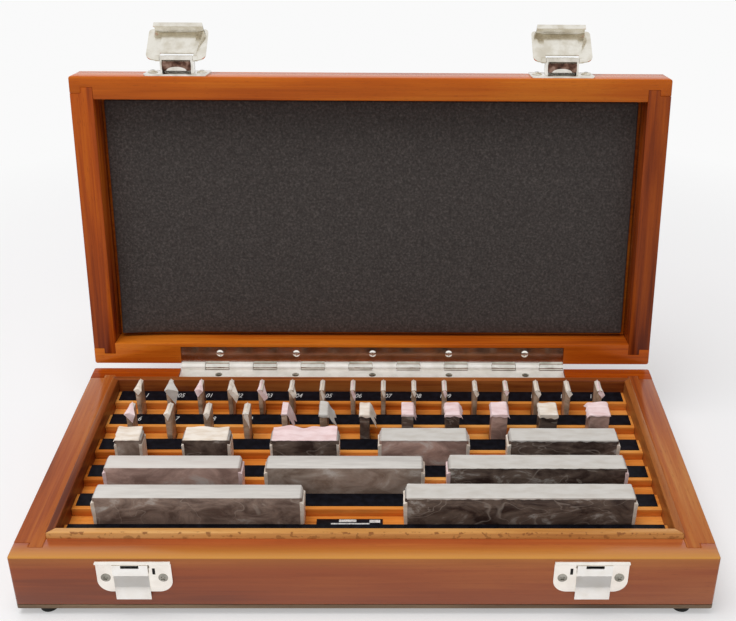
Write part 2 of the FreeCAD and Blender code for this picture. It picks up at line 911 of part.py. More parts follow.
def clasp_plate(side):
    """A plate with a hood pressed out of it; the hood's lower edge is rolled round the lever's pin."""
    label = "clasp_plate_" + side
    body = new_body(label, (LATCH_X[side], "front_y", LID_RIM))
    half = "clasp_width / 2"
    corners = rectangle("-" + half, half, "clasp_bottom", "clasp_top")
    face = outline(body, label + "_face", "XZ_Plane", corners)
    pad(body, label + "_plate", face, "plate_thick", both_ways=False)
    bend(body, label + "_corners", "clasp_corner", lambda edge, middle: runs_along(edge, Y))
    wide = "hood_width / 2"
    thin = "hood_width / 2 - plate_thick"
    arch = outline(
        body,
        label + "_arch",
        "XY_Plane",
        [
            ("-" + wide, "-plate_thick / 2"),
            ("-" + wide, "-hood_rise"),
            (wide, "-hood_rise"),
            (wide, "-plate_thick / 2"),
            (thin, "-plate_thick / 2"),
            (thin, "-hood_rise + plate_thick"),
            ("-(%s)" % thin, "-hood_rise + plate_thick"),
            ("-(%s)" % thin, "-plate_thick / 2"),
        ],
        offset="hood_start",
    )
    pad(body, label + "_hood", arch, "hood_end - hood_start", both_ways=False)
    end_wall = outline(
        body,
        label + "_end_wall_face",
        "XY_Plane",
        rectangle("-" + wide, wide, "-hood_rise", "-plate_thick / 2"),
        offset="hood_end - plate_thick",
    )
    pad(body, label + "_end_wall", end_wall, "plate_thick", both_ways=False)

    def hood_shoulder(edge, middle):
        return runs_along(edge, Z) and near(abs(middle.x), wide) and near(middle.y, "-hood_rise")

    bend(body, label + "_shoulders", "hood_round", hood_shoulder)
    roll = outline(
        body, label + "_roll", "YZ_Plane", circles=(("-pivot_out", "pivot_rise", "pivot_knuckle"),)
    )
    pad(body, label + "_knuckle", roll, "hood_width")
    bore = outline(body, label + "_bore", "YZ_Plane", circles=(("-pivot_out", "pivot_rise", "pivot_bore"),))
    pocket(body, label + "_pin_hole", bore, "2 * hood_width")
    keep(label, body, "lid")


def clasp_lever(side):
    """A pressed lever: flat middle, wings that slope to the case, two eyes on the pin and a hook."""
    label = "clasp_lever_" + side
    body = new_body(label, (LATCH_X[side], "front_y", LID_RIM))
    wide = "lever_width / 2"
    flat = "lever_flat / 2"
    outer = "-pivot_out - spring_sheet / 2"
    inner = "-pivot_out + spring_sheet / 2"
    section = outline(
        body,
        label + "_section",
        "XY_Plane",
        [
            ("-" + wide, outer + " + lever_slope"),
            ("-" + flat, outer),
            (flat, outer),
            (wide, outer + " + lever_slope"),
            (wide, inner + " + lever_slope"),
            (flat, inner),
            ("-" + flat, inner),
            ("-" + wide, inner + " + lever_slope"),
        ],
        offset="pivot_rise - lever_reach",
    )
    pad(body, label + "_sheet", section, "lever_reach + lever_tail", both_ways=False)

    def wing_corner(edge, middle):
        across = near(abs(middle.x), wide)
        return across and abs(edge.Length - number("spring_sheet")) < 0.01 and not runs_along(edge, Z)

    bend(body, label + "_corners", "lever_round", wing_corner)
    notch = outline(
        body,
        label + "_notch_face",
        "XZ_Plane",
        rectangle(
            "-hood_width / 2 - eye_play",
            "hood_width / 2 + eye_play",
            "pivot_rise - lever_notch",
            "pivot_rise + 2 * lever_tail",
        ),
    )
    pocket(body, label + "_notch", notch, "4 * pivot_out")
    for end in (-1, 1):
        eye = outline(
            body,
            "%s_eye_face_%s" % (label, "right" if end > 0 else "left"),
            "YZ_Plane",
            circles=(("-pivot_out", "pivot_rise", "pivot_knuckle"),),
            offset="%d * (hood_width / 2 + eye_play + lever_eye / 2)" % end,
        )
        pad(body, "%s_eye_%s" % (label, "right" if end > 0 else "left"), eye, "lever_eye")
    bore = outline(body, label + "_bore", "YZ_Plane", circles=(("-pivot_out", "pivot_rise", "pivot_bore"),))
    pocket(body, label + "_pin_hole", bore, "hood_width + 2 * eye_play + 2 * lever_eye")
    tip = "pivot_rise - lever_reach"
    reach = outer + " + hook_depth"
    hook = outline(
        body,
        label + "_hook_section",
        "YZ_Plane",
        [
            (outer, tip),
            (reach, tip),
            (reach, tip + " + hook_lip"),
            (reach + " - spring_sheet", tip + " + hook_lip"),
            (reach + " - spring_sheet", tip + " + spring_sheet"),
            (outer, tip + " + spring_sheet"),
        ],
    )
    pad(body, label + "_hook", hook, "hook_width")
    keep(label, body, "lever_" + side)


clasp_screws = []
for side in SIDES:
    clasp_plate(side)
    clasp_lever(side)
    pin_half = "(hood_width / 2 + eye_play + lever_eye)"
    pin_at = ("%s - %s" % (LATCH_X[side], pin_half), PIVOT_Y, PIVOT_Z)
    pin = bar("clasp_pin_" + side, pin_at, "pivot_pin_radius", "2 * " + pin_half, "+X")
    keep("clasp_pin_" + side, group("clasp_pin_" + side, [pin]), "lid")
    for end in (-1, 1):
        across = "%s + %d * clasp_screw_out" % (LATCH_X[side], end)
        at = (across, "front_y - plate_thick", LID_RIM + " + clasp_screw_rise")
        clasp_screws.append(screw_head("clasp_screw", at, "clasp_head", "clasp_head_rise", "-Y"))
keep("clasp_screws", group("clasp_screws", clasp_screws), "lid")

# ---------------------------------------------------------------- open pose, checks and files


def about_x(across, up, degrees):
    """A turn about an axis parallel to X."""
    centre = FreeCAD.Vector(0, number(across), number(up))
    return FreeCAD.Placement(FreeCAD.Vector(), FreeCAD.Rotation(X, degrees), centre)


doc.recompute()
lid_pose = about_x(AXIS_Y, AXIS_Z, -number("lid_open_angle"))
lever_pose = lid_pose.multiply(about_x(PIVOT_Y, PIVOT_Z, -number("lever_open_angle")))
POSES = {"lid": lid_pose, "lever_left": lever_pose, "lever_right": lever_pose}
for thing, rides in NODES.values():
    if rides in POSES:
        thing.Placement = POSES[rides].multiply(thing.Placement)
doc.recompute()

faults = [item.Name for item in doc.Objects if {"Invalid", "Error"} & set(item.State)]
for label, (thing, rides) in NODES.items():
    if thing.Shape.isNull() or not thing.Shape.isValid() or not thing.Shape.Solids:
        faults.append(label)
if faults:
    raise SystemExit("failed: " + ", ".join(faults))

whole = FreeCAD.BoundBox()
for thing, rides in NODES.values():
    whole.add(thing.Shape.BoundBox)
print("open set: x %.2f to %.2f, y %.2f to %.2f, z %.2f to %.2f" % (
    whole.XMin, whole.XMax, whole.YMin, whole.YMax, whole.ZMin, whole.ZMax))
for name, text in (("hinge axis y", AXIS_Y), ("hinge axis z", AXIS_Z), ("front y", "front_y")):
    print("%s %.4f" % (name, number(text)))
pivot = lid_pose.multVec(FreeCAD.Vector(0, number(PIVOT_Y), number(PIVOT_Z)))
print("open lever pivot y %.4f z %.4f" % (pivot.y, pivot.z))

os.makedirs("parts", exist_ok=True)
for label, (thing, rides) in NODES.items():
    thing.Shape.exportStep("parts/%s.step" % label)
print("%d nodes" % len(NODES))
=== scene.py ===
"""Gauge block set in its wooden case: the dressed model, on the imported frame. Metres, +Z up."""

import json
import math

import bmesh
import bpy
from mathutils import Matrix, Vector, noise


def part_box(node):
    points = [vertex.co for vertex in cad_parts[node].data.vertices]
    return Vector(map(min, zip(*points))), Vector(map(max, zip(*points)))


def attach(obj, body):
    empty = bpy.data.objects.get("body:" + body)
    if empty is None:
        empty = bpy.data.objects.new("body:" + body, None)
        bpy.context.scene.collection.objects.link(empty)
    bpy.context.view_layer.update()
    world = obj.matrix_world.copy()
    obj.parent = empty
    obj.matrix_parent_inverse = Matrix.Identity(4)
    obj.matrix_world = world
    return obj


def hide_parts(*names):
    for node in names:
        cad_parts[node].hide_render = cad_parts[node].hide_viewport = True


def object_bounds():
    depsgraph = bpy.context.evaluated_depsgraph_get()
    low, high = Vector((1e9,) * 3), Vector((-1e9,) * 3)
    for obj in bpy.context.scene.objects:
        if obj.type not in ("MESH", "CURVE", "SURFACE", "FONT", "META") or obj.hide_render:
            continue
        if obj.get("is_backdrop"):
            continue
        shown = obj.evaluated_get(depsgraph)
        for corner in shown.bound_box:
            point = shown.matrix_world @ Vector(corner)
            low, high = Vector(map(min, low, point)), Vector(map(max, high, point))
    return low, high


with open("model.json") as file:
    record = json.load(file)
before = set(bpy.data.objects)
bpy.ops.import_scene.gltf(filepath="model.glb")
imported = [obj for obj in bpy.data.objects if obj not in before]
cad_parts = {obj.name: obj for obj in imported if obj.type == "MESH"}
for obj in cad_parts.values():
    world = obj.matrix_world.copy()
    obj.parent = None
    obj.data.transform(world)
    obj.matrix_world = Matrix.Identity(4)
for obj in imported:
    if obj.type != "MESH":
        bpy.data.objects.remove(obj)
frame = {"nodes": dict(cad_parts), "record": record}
cad_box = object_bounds()

# ---------------------------------------------------------------- case boards
# The case is four boards of a pale hardwood, stained red-brown and varnished to a gloss. The long
# boards carry stepped corner joints that the side boards' tongues are glued into. The arrises are
# broken by sanding. The front board's top is painted paler and yellower, most at its front arris:
# painted light on the lit rim, with a painted highlight along the arris.

MM = 0.001


def paint(code):
    """A colour written as sRGB hex, in the linear values that the shader wants."""
    parts = [int(code[place : place + 2], 16) / 255 for place in (0, 2, 4)]
    linear = [part / 12.92 if part <= 0.04045 else ((part + 0.055) / 1.055) ** 2.4 for part in parts]
    return linear + [1.0]


def add(tree, kind, links=None, stops=(), **settings):
    """One node: links maps an input to a value or another node's output; stops fill a colour ramp."""
    node = tree.nodes.new(kind)
    for name, value in settings.items():
        setattr(node, name, value)
    for name, value in (links or {}).items():
        if isinstance(value, bpy.types.NodeSocket):
            tree.links.new(value, node.inputs[name])
        else:
            node.inputs[name].default_value = value
    for count, (place, code) in enumerate(stops):
        stop = node.color_ramp.elements[count] if count < 2 else node.color_ramp.elements.new(place)
        stop.position = place
        stop.color = paint(code)
    return node


# Sockets of the Mix node, which has several of each name, when it mixes colours.
FACTOR, FIRST, SECOND, MIXED = 0, 6, 7, 2


def new_material(name, roughness, specular=0.5, metallic=0.0):
    """An empty material with its Principled shader joined to the output, and object coordinates."""
    material = bpy.data.materials.new(name)
    material.use_nodes = True
    tree = material.node_tree
    tree.nodes.clear()
    constants = {"Roughness": roughness, "Specular IOR Level": specular, "Metallic": metallic}
    surface = add(tree, "ShaderNodeBsdfPrincipled", constants)
    add(tree, "ShaderNodeOutputMaterial", {"Surface": surface.outputs["BSDF"]})
    place = add(tree, "ShaderNodeTexCoord").outputs["Object"]
    return material, tree, surface, place


# How wide the stain's drift of tone, a growth line, a pore and a nick in the varnish are.
STAIN_DRIFT = 40 * MM
GROWTH_LINE = 2 * MM
PORE = 0.4 * MM
NICK = 3 * MM


def stained_wood(
    name, turn, shift, shades, specular=0.5, roughness=0.24, wear_and_light=None, band_tint=("D89A3E", 0)
):
    """Varnished wood; turn lays the grain along the board, and shades run from dark to pale.

    Drift, lines and pores are drawn out along the grain. The last two arguments give a band of Y on
    the upper side, its colour and whether it is broken up: a whole band is painted light on a lit rim,
    and a broken one is real wear.
    """
    material, tree, surface, place = new_material(name, roughness, specular)
    laid = {"Vector": place, "Rotation": turn, "Location": shift}
    along = add(tree, "ShaderNodeMapping", laid).outputs[0]
    drift_place = add(tree, "ShaderNodeMapping", {"Vector": along, "Scale": (0.25, 1, 1)}).outputs[0]
    line_place = add(tree, "ShaderNodeMapping", {"Vector": along, "Scale": (0.03, 1, 1)}).outputs[0]
    pore_place = add(tree, "ShaderNodeMapping", {"Vector": along, "Scale": (0.08, 1, 1)}).outputs[0]
    drift = add(tree, "ShaderNodeTexNoise", {"Vector": drift_place, "Scale": 1 / STAIN_DRIFT, "Detail": 2.0})
    lines = add(
        tree,
        "ShaderNodeTexNoise",
        {"Vector": line_place, "Scale": 1 / GROWTH_LINE, "Detail": 3.0, "Distortion": 0.3},
    )
    pores = add(tree, "ShaderNodeTexNoise", {"Vector": pore_place, "Scale": 1 / PORE, "Detail": 1.0})
    lean = add(
        tree,
        "ShaderNodeMapRange",
        {"Value": lines.outputs["Fac"], "From Min": 0.25, "From Max": 0.75, "To Min": -0.13, "To Max": 0.13},
    )
    tone = add(tree, "ShaderNodeMath", {0: drift.outputs["Fac"], 1: lean.outputs[0]}, operation="ADD")
    stain = add(
        tree,
        "ShaderNodeValToRGB",
        {"Fac": tone.outputs[0]},
        stops=[(0.28, shades[0]), (0.72, shades[3]), (0.42, shades[1]), (0.56, shades[2])],
    )
    depth = add(
        tree,
        "ShaderNodeMapRange",
        {"Value": pores.outputs["Fac"], "From Min": 0.38, "From Max": 0.30, "To Min": 0.0, "To Max": 0.35},
    )
    dark = {FACTOR: depth.outputs[0], FIRST: stain.outputs["Color"], SECOND: paint(shades[0])}
    colour = add(tree, "ShaderNodeMix", dark, data_type="RGBA").outputs[MIXED]
    if wear_and_light:
        height = add(tree, "ShaderNodeSeparateXYZ", {"Vector": place})
        normal = add(tree, "ShaderNodeNewGeometry").outputs["Normal"]
        up = add(tree, "ShaderNodeSeparateXYZ", {"Vector": normal})
        band = add(
            tree,
            "ShaderNodeMapRange",
            {"Value": height.outputs["Y"], "From Min": wear_and_light[1], "From Max": wear_and_light[0], "To Max": 0.75},
        )
        upper = add(tree, "ShaderNodeMapRange", {"Value": up.outputs["Z"], "From Min": 0.1, "From Max": 0.4})
        mask = add(tree, "ShaderNodeMath", {0: band.outputs[0], 1: upper.outputs[0]}, operation="MULTIPLY")
        nicks = add(tree, "ShaderNodeTexNoise", {"Vector": place, "Scale": 1 / NICK, "Detail": 3.0})
        low, high = (0.57, 0.62) if band_tint[1] else (-1, 0)
        broken = add(
            tree, "ShaderNodeMapRange", {"Value": nicks.outputs["Fac"], "From Min": low, "From Max": high}
        )
        mask = add(tree, "ShaderNodeMath", {0: mask.outputs[0], 1: broken.outputs[0]}, operation="MULTIPLY")
        band_mix = {FACTOR: mask.outputs[0], FIRST: colour, SECOND: paint(band_tint[0])}
        colour = add(tree, "ShaderNodeMix", band_mix, data_type="RGBA").outputs[MIXED]
    tree.links.new(colour, surface.inputs["Base Color"])
    bump = add(
        tree, "ShaderNodeBump", {"Height": lines.outputs["Fac"], "Strength": 0.08, "Distance": 0.1 * MM}
    )
    tree.links.new(bump.outputs["Normal"], surface.inputs["Normal"])
    return material


def body_of_node(node):
    """The body that a CAD node rides with."""
    for body, members in frame["record"]["behaviour"]["bodies"].items():
        if node in members:
            return body
    raise KeyError(node)


def finish_piece(mesh, name, material, nodes=(), body=None, flat=35):
    """Turns a bmesh into a dressed piece at the origin, which rides with a body or replaces CAD nodes."""
    data = bpy.data.meshes.new(name)
    mesh.to_mesh(data)
    mesh.free()
    data.materials.append(material)
    piece = bpy.data.objects.new(name, data)
    bpy.context.scene.collection.objects.link(piece)
    data.shade_smooth()
    data.set_sharp_from_angle(angle=math.radians(flat))
    if nodes:
        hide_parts(*nodes)
    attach(piece, body or body_of_node(nodes[0]))
    return piece


def clean_mesh(node):
    """A copy of a CAD node's mesh with its corners merged and its flat faces whole."""
    mesh = bmesh.new()
    mesh.from_mesh(frame["nodes"][node].data)
    bmesh.ops.remove_doubles(mesh, verts=mesh.verts, dist=0.002 * MM)
    bmesh.ops.dissolve_limit(
        mesh, angle_limit=math.radians(0.5), verts=mesh.verts, edges=mesh.edges, use_dissolve_boundaries=False
    )
    return mesh


def broken_arrises(mesh, arris, sharp=30, segments=2):
    """Rounds every edge that is sharper than so many degrees."""
    limit = math.radians(sharp)
    edges = [edge for edge in mesh.edges if edge.is_manifold and edge.calc_face_angle() > limit]
    bmesh.ops.bevel(
        mesh,
        geom=edges,
        offset=arris * MM,
        offset_type="OFFSET",
        segments=segments,
        profile=0.5,
        affect="EDGES",
        clamp_overlap=True,
        material=-1,
    )


def seated_copy(node, name, material, arris=0.0, sharp=30):
    """A clean copy of a CAD node with broken arrises, which takes the node's place."""
    mesh = clean_mesh(node)
    if arris:
        broken_arrises(mesh, arris, sharp)
    return finish_piece(mesh, name, material, nodes=[node])


ALONG_X = (0, 0, 0)
ALONG_Y = (0, 0, math.radians(90))
front_low, front_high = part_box("base_front_board")
case_front = front_low[1]
rim = front_high[2]
BASE_SHADES = ("904626", "A45028", "AE582C", "BC6834")
SIDE_SHADES = ("7E3A1A", "9E4E22", "B06028", "C07A3C")
# The rear board is a deeper red than the others: painted shade and a painted warm reflection of the lid.
SHADED_REAR_SHADES = ("7A2E0A", "9C400C", "B05010", "C0621A")
# Over 9 mm from the front, faces that look up are painted paler: painted light on the rim.
painted_rim_light = (case_front + 0.4 * MM, case_front + 9 * MM)
case_wood_front = stained_wood(
    "stained_hardwood_front", ALONG_X, (0, 0, 0), BASE_SHADES, 0.4, wear_and_light=painted_rim_light
)
case_wood_side = stained_wood("stained_hardwood_side", ALONG_Y, (0.3, 0.1, 0), SIDE_SHADES, 0.22)
case_wood_rear_shaded = stained_wood("stained_hardwood_rear", ALONG_X, (0.4, 0.2, 0), SHADED_REAR_SHADES, 0.15)
seated_copy("base_front_board", "case_front_board", case_wood_front, 0.5)
seated_copy("base_rear_board", "case_rear_board", case_wood_rear_shaded, 0.4)
for side in ("left", "right"):
    seated_copy("base_%s_board" % side, "case_%s_board" % side, case_wood_side, 0.3)

# ---------------------------------------------------------------- bottom board
# A thin board of plywood is glued below the walls, flush with them. Its sawn edge isn't stained,
# and is a dull grey-brown beside the red of the boards.

PLY_SHADES = ("4E3A2C", "6E5844", "887058", "9C8468")
bottom_ply = stained_wood("bottom_plywood", ALONG_X, (0.1, 0.2, 0.4), PLY_SHADES, 0.3, 0.5)
seated_copy("base_bottom_board", "case_bottom_board", bottom_ply)

# ---------------------------------------------------------------- lid boards and panel
# The lid is made as the base is: four boards with stepped corners and a glued panel, in an
# orange-brown stain. Its grain follows the open lid, which leans back.

joints = {joint["name"]: joint for joint in frame["record"]["behaviour"]["joints"]}
lean = math.radians(joints["lid_hinge"]["range_deg"][1]) - math.radians(90)
# Along the open lid's boards, away from the hinge, and out of its open side.
lid_along = Vector((0, math.sin(lean), math.cos(lean)))
lid_forward = Vector((0, -math.cos(lean), math.sin(lean)))
LID_SHADES = ("9A4412", "BC5814", "CC6618", "DA7A22")
LEFT_SHADES = ("7A3010", "B25016", "CC681A", "D87A28")
RIGHT_SHADES = ("5C2410", "8E3E14", "AC5218", "C06620")
lid_wood_rail = stained_wood("stained_hardwood_rail", (lean, 0, 0), (0.5, 0, 0.2), LID_SHADES, 0.16)
stile_turn = (lean, math.radians(90), 0)
lid_wood_left = stained_wood("stained_hardwood_left", stile_turn, (0.1, 0.6, 0), LEFT_SHADES, 0.16)
lid_wood_right = stained_wood("stained_hardwood_right", stile_turn, (0.3, 0.2, 0), RIGHT_SHADES, 0.16)
for side in ("front", "rear"):
    seated_copy("lid_%s_board" % side, "cover_%s_board" % side, lid_wood_rail, 0.4)
for side, wood in (("left", lid_wood_left), ("right", lid_wood_right)):
    seated_copy("lid_%s_board" % side, "cover_%s_board" % side, wood, 0.3)
seated_copy("lid_panel", "cover_panel", lid_wood_rail)

# ---------------------------------------------------------------- lining, slotted tray and ribs
# A softwood strip lines the base, mitred at its corners and bruised along its outer arris. Between
# the strips lie the slotted board that holds the blocks and six ribs that carry the labels.

PALE_SHADES = ("A8662C", "C88A48", "D89C58", "E0AC6C")
# The rear and side strips are a darker, redder copy of the front one: partly a real red stain, partly painted
# shade where they sit in shadow.
SHADED_RED_SHADES = ("5C2610", "7E3E1A", "985424", "A86632")
TRAY_SHADES = ("B05E1C", "DA8434", "E89A48", "F0B264")
lining_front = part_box("lining_front")[0][1]
bruises = (lining_front + 0.7 * MM, lining_front + 1.1 * MM)
lining_pale = stained_wood(
    "lining_softwood_pale", ALONG_X, (0.2, 0.3, 0.1), PALE_SHADES, 0.3, 0.35, bruises, ("7A4014", 1)
)
lining_red_shaded = stained_wood("lining_softwood_red_shaded", ALONG_X, (0.6, 0.3, 0.1), SHADED_RED_SHADES, 0.3, 0.35)
lining_side_shaded = stained_wood("lining_softwood_side_shaded", ALONG_Y, (0.7, 0.1, 0.3), SHADED_RED_SHADES, 0.3, 0.35)
tray_wood = stained_wood("tray_softwood", ALONG_X, (0.2, 0.5, 0.1), TRAY_SHADES, 0.25, 0.4)
linings = {"front": lining_pale, "rear": lining_red_shaded, "left": lining_side_shaded, "right": lining_side_shaded}
for side, wood in linings.items():
    seated_copy("lining_" + side, "lining_strip_" + side, wood, 0.3)
seated_copy("tray_ribs", "label_ribs", tray_wood, 0.25)
seated_copy("slot_board", "slotted_board", tray_wood)

# ---------------------------------------------------------------- label strips
# Each rib carries a strip of matt black plastic film. The size of each block is printed behind it
# in plain white italic figures.


def mottled(name, roughness, specular, spread, detail, stops, metallic=0.0):
    """A material whose colours run into each other in clouds that are so many millimetres across."""
    material, tree, surface, place = new_material(name, roughness, specular, metallic)
    cloud = add(tree, "ShaderNodeTexNoise", {"Vector": place, "Scale": 1 / (spread * MM), "Detail": detail})
    tint = add(tree, "ShaderNodeValToRGB", {"Fac": cloud.outputs["Fac"]}, stops=stops)
    tree.links.new(tint.outputs["Color"], surface.inputs["Base Color"])
    return material


film = mottled("black_printed_film", 0.5, 0.1, 3, 4.0, [(0.4, "0B0B10"), (0.75, "191A22")])
ink = mottled("white_screen_ink", 0.5, 0.3, 0.7, 2.0, [(0.3, "A8A8A8"), (0.6, "E4E4E2")])
seated_copy("label_strips", "black_label_strips", film)

FIGURE_HEIGHT = 5.4 * MM
FIGURE_WIDTH = 0.68
FIGURE_SLANT = 0.25
# How far flat print stands off what it is printed on.
INK_LIFT = 0.03 * MM
HUNDREDTHS = ["1.0%d" % step for step in range(1, 10)]
TENTHS = ["1.%d" % step for step in range(1, 10)]
ROWS = [
    ["1", "1.005"] + HUNDREDTHS + TENTHS[:5],
    TENTHS[5:] + ["2", "3", "4", "5", "6", "7", "8", "9"],
    ["10", "20", "30", "40", "50"],
    ["60", "70", "80"],
    ["90", "100"],
]


def solids_of(node):
    """Lowest and highest corner of each separate solid of a node, and the middle of its corners."""
    mesh = clean_mesh(node)
    left = set(mesh.verts)
    found = []
    while left:
        reached = [left.pop()]
        for vert in reached:
            near = {edge.other_vert(vert) for edge in vert.link_edges} & left
            left -= near
            reached.extend(near)
        points = [vert.co.copy() for vert in reached]
        low = Vector([min(point[axis] for point in points) for axis in range(3)])
        high = Vector([max(point[axis] for point in points) for axis in range(3)])
        found.append((low, high, sum(points, Vector()) / len(points)))
    mesh.free()
    return found


# The packets by their sizes, from the rear row to the front one.
packets = {}
for node in sorted(frame["nodes"]):
    if node.startswith("block_"):
        packets[node[6:].replace("_", ".")] = solids_of(node)[0]
tenths = sorted(solids_of("blocks_1_1_to_1_9"), key=lambda solid: (round(-solid[2].y, 2), solid[0].x))
hundredths = sorted(solids_of("blocks_1_01_to_1_09"), key=lambda solid: solid[0].x)
packets.update(zip(TENTHS, tenths))
packets.update(zip(HUNDREDTHS, hundredths))
strips = sorted(solids_of("label_strips"), key=lambda solid: -solid[2].y)


def printed_figures(words, places, height):
    """Flat italic figures, each word centred on its place."""
    mesh = bmesh.new()
    for word, (across, depth) in zip(words, places):
        curve = bpy.data.curves.new("figures", "FONT")
        curve.body = word
        curve.size = FIGURE_HEIGHT
        curve.shear = FIGURE_SLANT
        curve.align_x = "CENTER"
        curve.align_y = "CENTER"
        text = bpy.data.objects.new("figures", curve)
        flat_word = bpy.data.meshes.new_from_object(text)
        narrowed = Matrix.Diagonal((FIGURE_WIDTH, 1, 1, 1))
        flat_word.transform(Matrix.Translation((across, depth, height)) @ narrowed)
        mesh.from_mesh(flat_word)
        bpy.data.objects.remove(text)
        bpy.data.curves.remove(curve)
        bpy.data.meshes.remove(flat_word)
    return mesh


# The sizes below 2 are printed at an even pitch, so their figures drift against the blocks: where
# each row starts and its pitch.
PITCHES = [(-119.1 * MM, 15.78 * MM), (-119.8 * MM, 18.9 * MM)]
for row, sizes in enumerate(ROWS):
    strip_high, strip_middle = strips[row][1:]
    columns = [packets[size][2].x for size in sizes]
    for count, size in enumerate(sizes):
        if float(size) < 2:
            start, pitch = PITCHES[row]
            columns[count] = start + pitch * count
    spots = [(column, strip_middle.y) for column in columns]
    figures = printed_figures(sizes, spots, strip_high.z + INK_LIFT)
    finish_piece(figures, "printed_sizes_row_%d" % (row + 1), ink, body="case")

# ---------------------------------------------------------------- loose tag
# A short black tag of the same film lies loose in the front groove. It has bare white panels where
# words would be, printed flat.

tag_low, tag_high = (Vector(corner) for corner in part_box("blank_tag"))
seated_copy("blank_tag", "loose_tag", film, 0.1)
# Each panel's start and end along the tag, and across it, as shares of its length and width.
PANELS = ((0.22, 0.80, 0.10, 0.50), (0.34, 0.60, 0.62, 0.92), (0.80, 0.96, 0.55, 0.88))
span = Vector((tag_high.x - tag_low.x, tag_high.y - tag_low.y, 0))
panels = bmesh.new()
for start, end, low, high in PANELS:
    panel = bmesh.ops.create_grid(panels, x_segments=1, y_segments=1, size=0.5)["verts"]
    bmesh.ops.scale(panels, vec=((end - start) * span.x, (high - low) * span.y, 1), verts=panel)
    middle = Vector((tag_low.x + (start + end) / 2 * span.x, tag_low.y + (low + high) / 2 * span.y, 0))
    bmesh.ops.translate(panels, vec=middle + Vector((0, 0, tag_high.z + INK_LIFT)), verts=panel)
finish_piece(panels, "loose_tag_panels", ink, body="case")

# ---------------------------------------------------------------- packets
# Every block is folded into waxed tissue. Where it clings to the oily steel it turns clear and
# lets the dark metal through in blotches; elsewhere it is a milky grey, with pale creases.


def waxed_paper(name, top, front, dark, crease=0.5, clear=0.5):
    """Waxed paper over oily steel: clear sets how much of the upright faces is see-through.

    The oil's blotches are 9 mm across, and the creases are thin lines where a coarse noise passes
    its middle. The tops are dry and milky, with streaks along the block.
    """
    material, tree, surface, place = new_material(name, 0.38, 0.3)
    slide = add(tree, "ShaderNodeMapping", {"Vector": place, "Scale": (0.55, 1, 1)}).outputs[0]
    streak = add(tree, "ShaderNodeMapping", {"Vector": place, "Scale": (0.12, 1, 1)}).outputs[0]
    blotch = add(
        tree,
        "ShaderNodeTexNoise",
        {"Vector": slide, "Scale": 1 / (9 * MM), "Detail": 6.0, "Roughness": 0.65, "Distortion": 0.6},
    )
    fine = add(tree, "ShaderNodeTexNoise", {"Vector": streak, "Scale": 1 / (1.5 * MM), "Detail": 3.0})
    fold = add(tree, "ShaderNodeTexNoise", {"Vector": slide, "Scale": 1 / (16 * MM), "Distortion": 1.2})
    edge = 0.34 + 0.22 * clear
    soaked = [(edge - 0.05, front), (edge + 0.14, dark), (edge - 0.18, top)]
    milky = [(0.3, top), (0.8, "E2DED8")]
    wet = add(tree, "ShaderNodeValToRGB", {"Fac": blotch.outputs["Fac"]}, stops=soaked)
    pale = add(tree, "ShaderNodeValToRGB", {"Fac": fine.outputs["Fac"]}, stops=milky)
    middle = add(tree, "ShaderNodeMath", {0: fold.outputs["Fac"], 1: 0.5}, operation="SUBTRACT")
    middle = add(tree, "ShaderNodeMath", {0: middle.outputs[0]}, operation="ABSOLUTE")
    line = add(
        tree,
        "ShaderNodeMapRange",
        {"Value": middle.outputs[0], "From Min": 0.012, "From Max": 0.0, "To Max": crease},
    )
    faint = {0: line.outputs[0], 1: blotch.outputs["Fac"]}
    patchy = add(tree, "ShaderNodeMath", faint, operation="MULTIPLY")
    creased = {FACTOR: patchy.outputs[0], FIRST: wet.outputs["Color"], SECOND: paint("D0C4B8")}
    upright = add(tree, "ShaderNodeMix", creased, data_type="RGBA")
    normal = add(tree, "ShaderNodeNewGeometry").outputs["Normal"]
    facing = add(tree, "ShaderNodeSeparateXYZ", {"Vector": normal})
    level = add(
        tree, "ShaderNodeMapRange", {"Value": facing.outputs["Z"], "From Min": 0.3, "From Max": 0.7}
    )
    both = {FACTOR: level.outputs[0], FIRST: upright.outputs[MIXED], SECOND: pale.outputs["Color"]}
    colour = add(tree, "ShaderNodeMix", both, data_type="RGBA")
    tree.links.new(colour.outputs[MIXED], surface.inputs["Base Color"])
    bump = add(
        tree, "ShaderNodeBump", {"Height": blotch.outputs["Fac"], "Strength": 0.25, "Distance": 0.5 * MM}
    )
    tree.links.new(bump.outputs["Normal"], surface.inputs["Normal"])
    return material


TISSUES = {
    "thin": waxed_paper("waxed_tissue_thin", "EADACA", "CCAE94", "90745E", clear=0.6),
    "grey": waxed_paper("waxed_tissue_grey", "CDC8C2", "A8988C", "826F62", crease=0.2, clear=0.5),
    "rosy": waxed_paper("waxed_tissue_rosy", "D8D0CA", "C4A498", "94786E", crease=0.3, clear=0.6),
    "blotched": waxed_paper("waxed_tissue_blotched", "CFCAC4", "A08C80", "66544C", crease=0.6, clear=0.6),
    "dark": waxed_paper("waxed_tissue_dark", "C8C4BE", "74645A", "3A2C28", crease=0.6, clear=0.6),
}
PACKET_TISSUE = {
    "10": "grey", "20": "dark", "30": "dark", "40": "rosy", "50": "dark",
    "60": "rosy", "70": "grey", "80": "dark", "90": "blotched", "100": "dark",
    "4": "dark", "5": "dark", "6": "dark", "7": "rosy", "8": "dark", "9": "rosy",
}
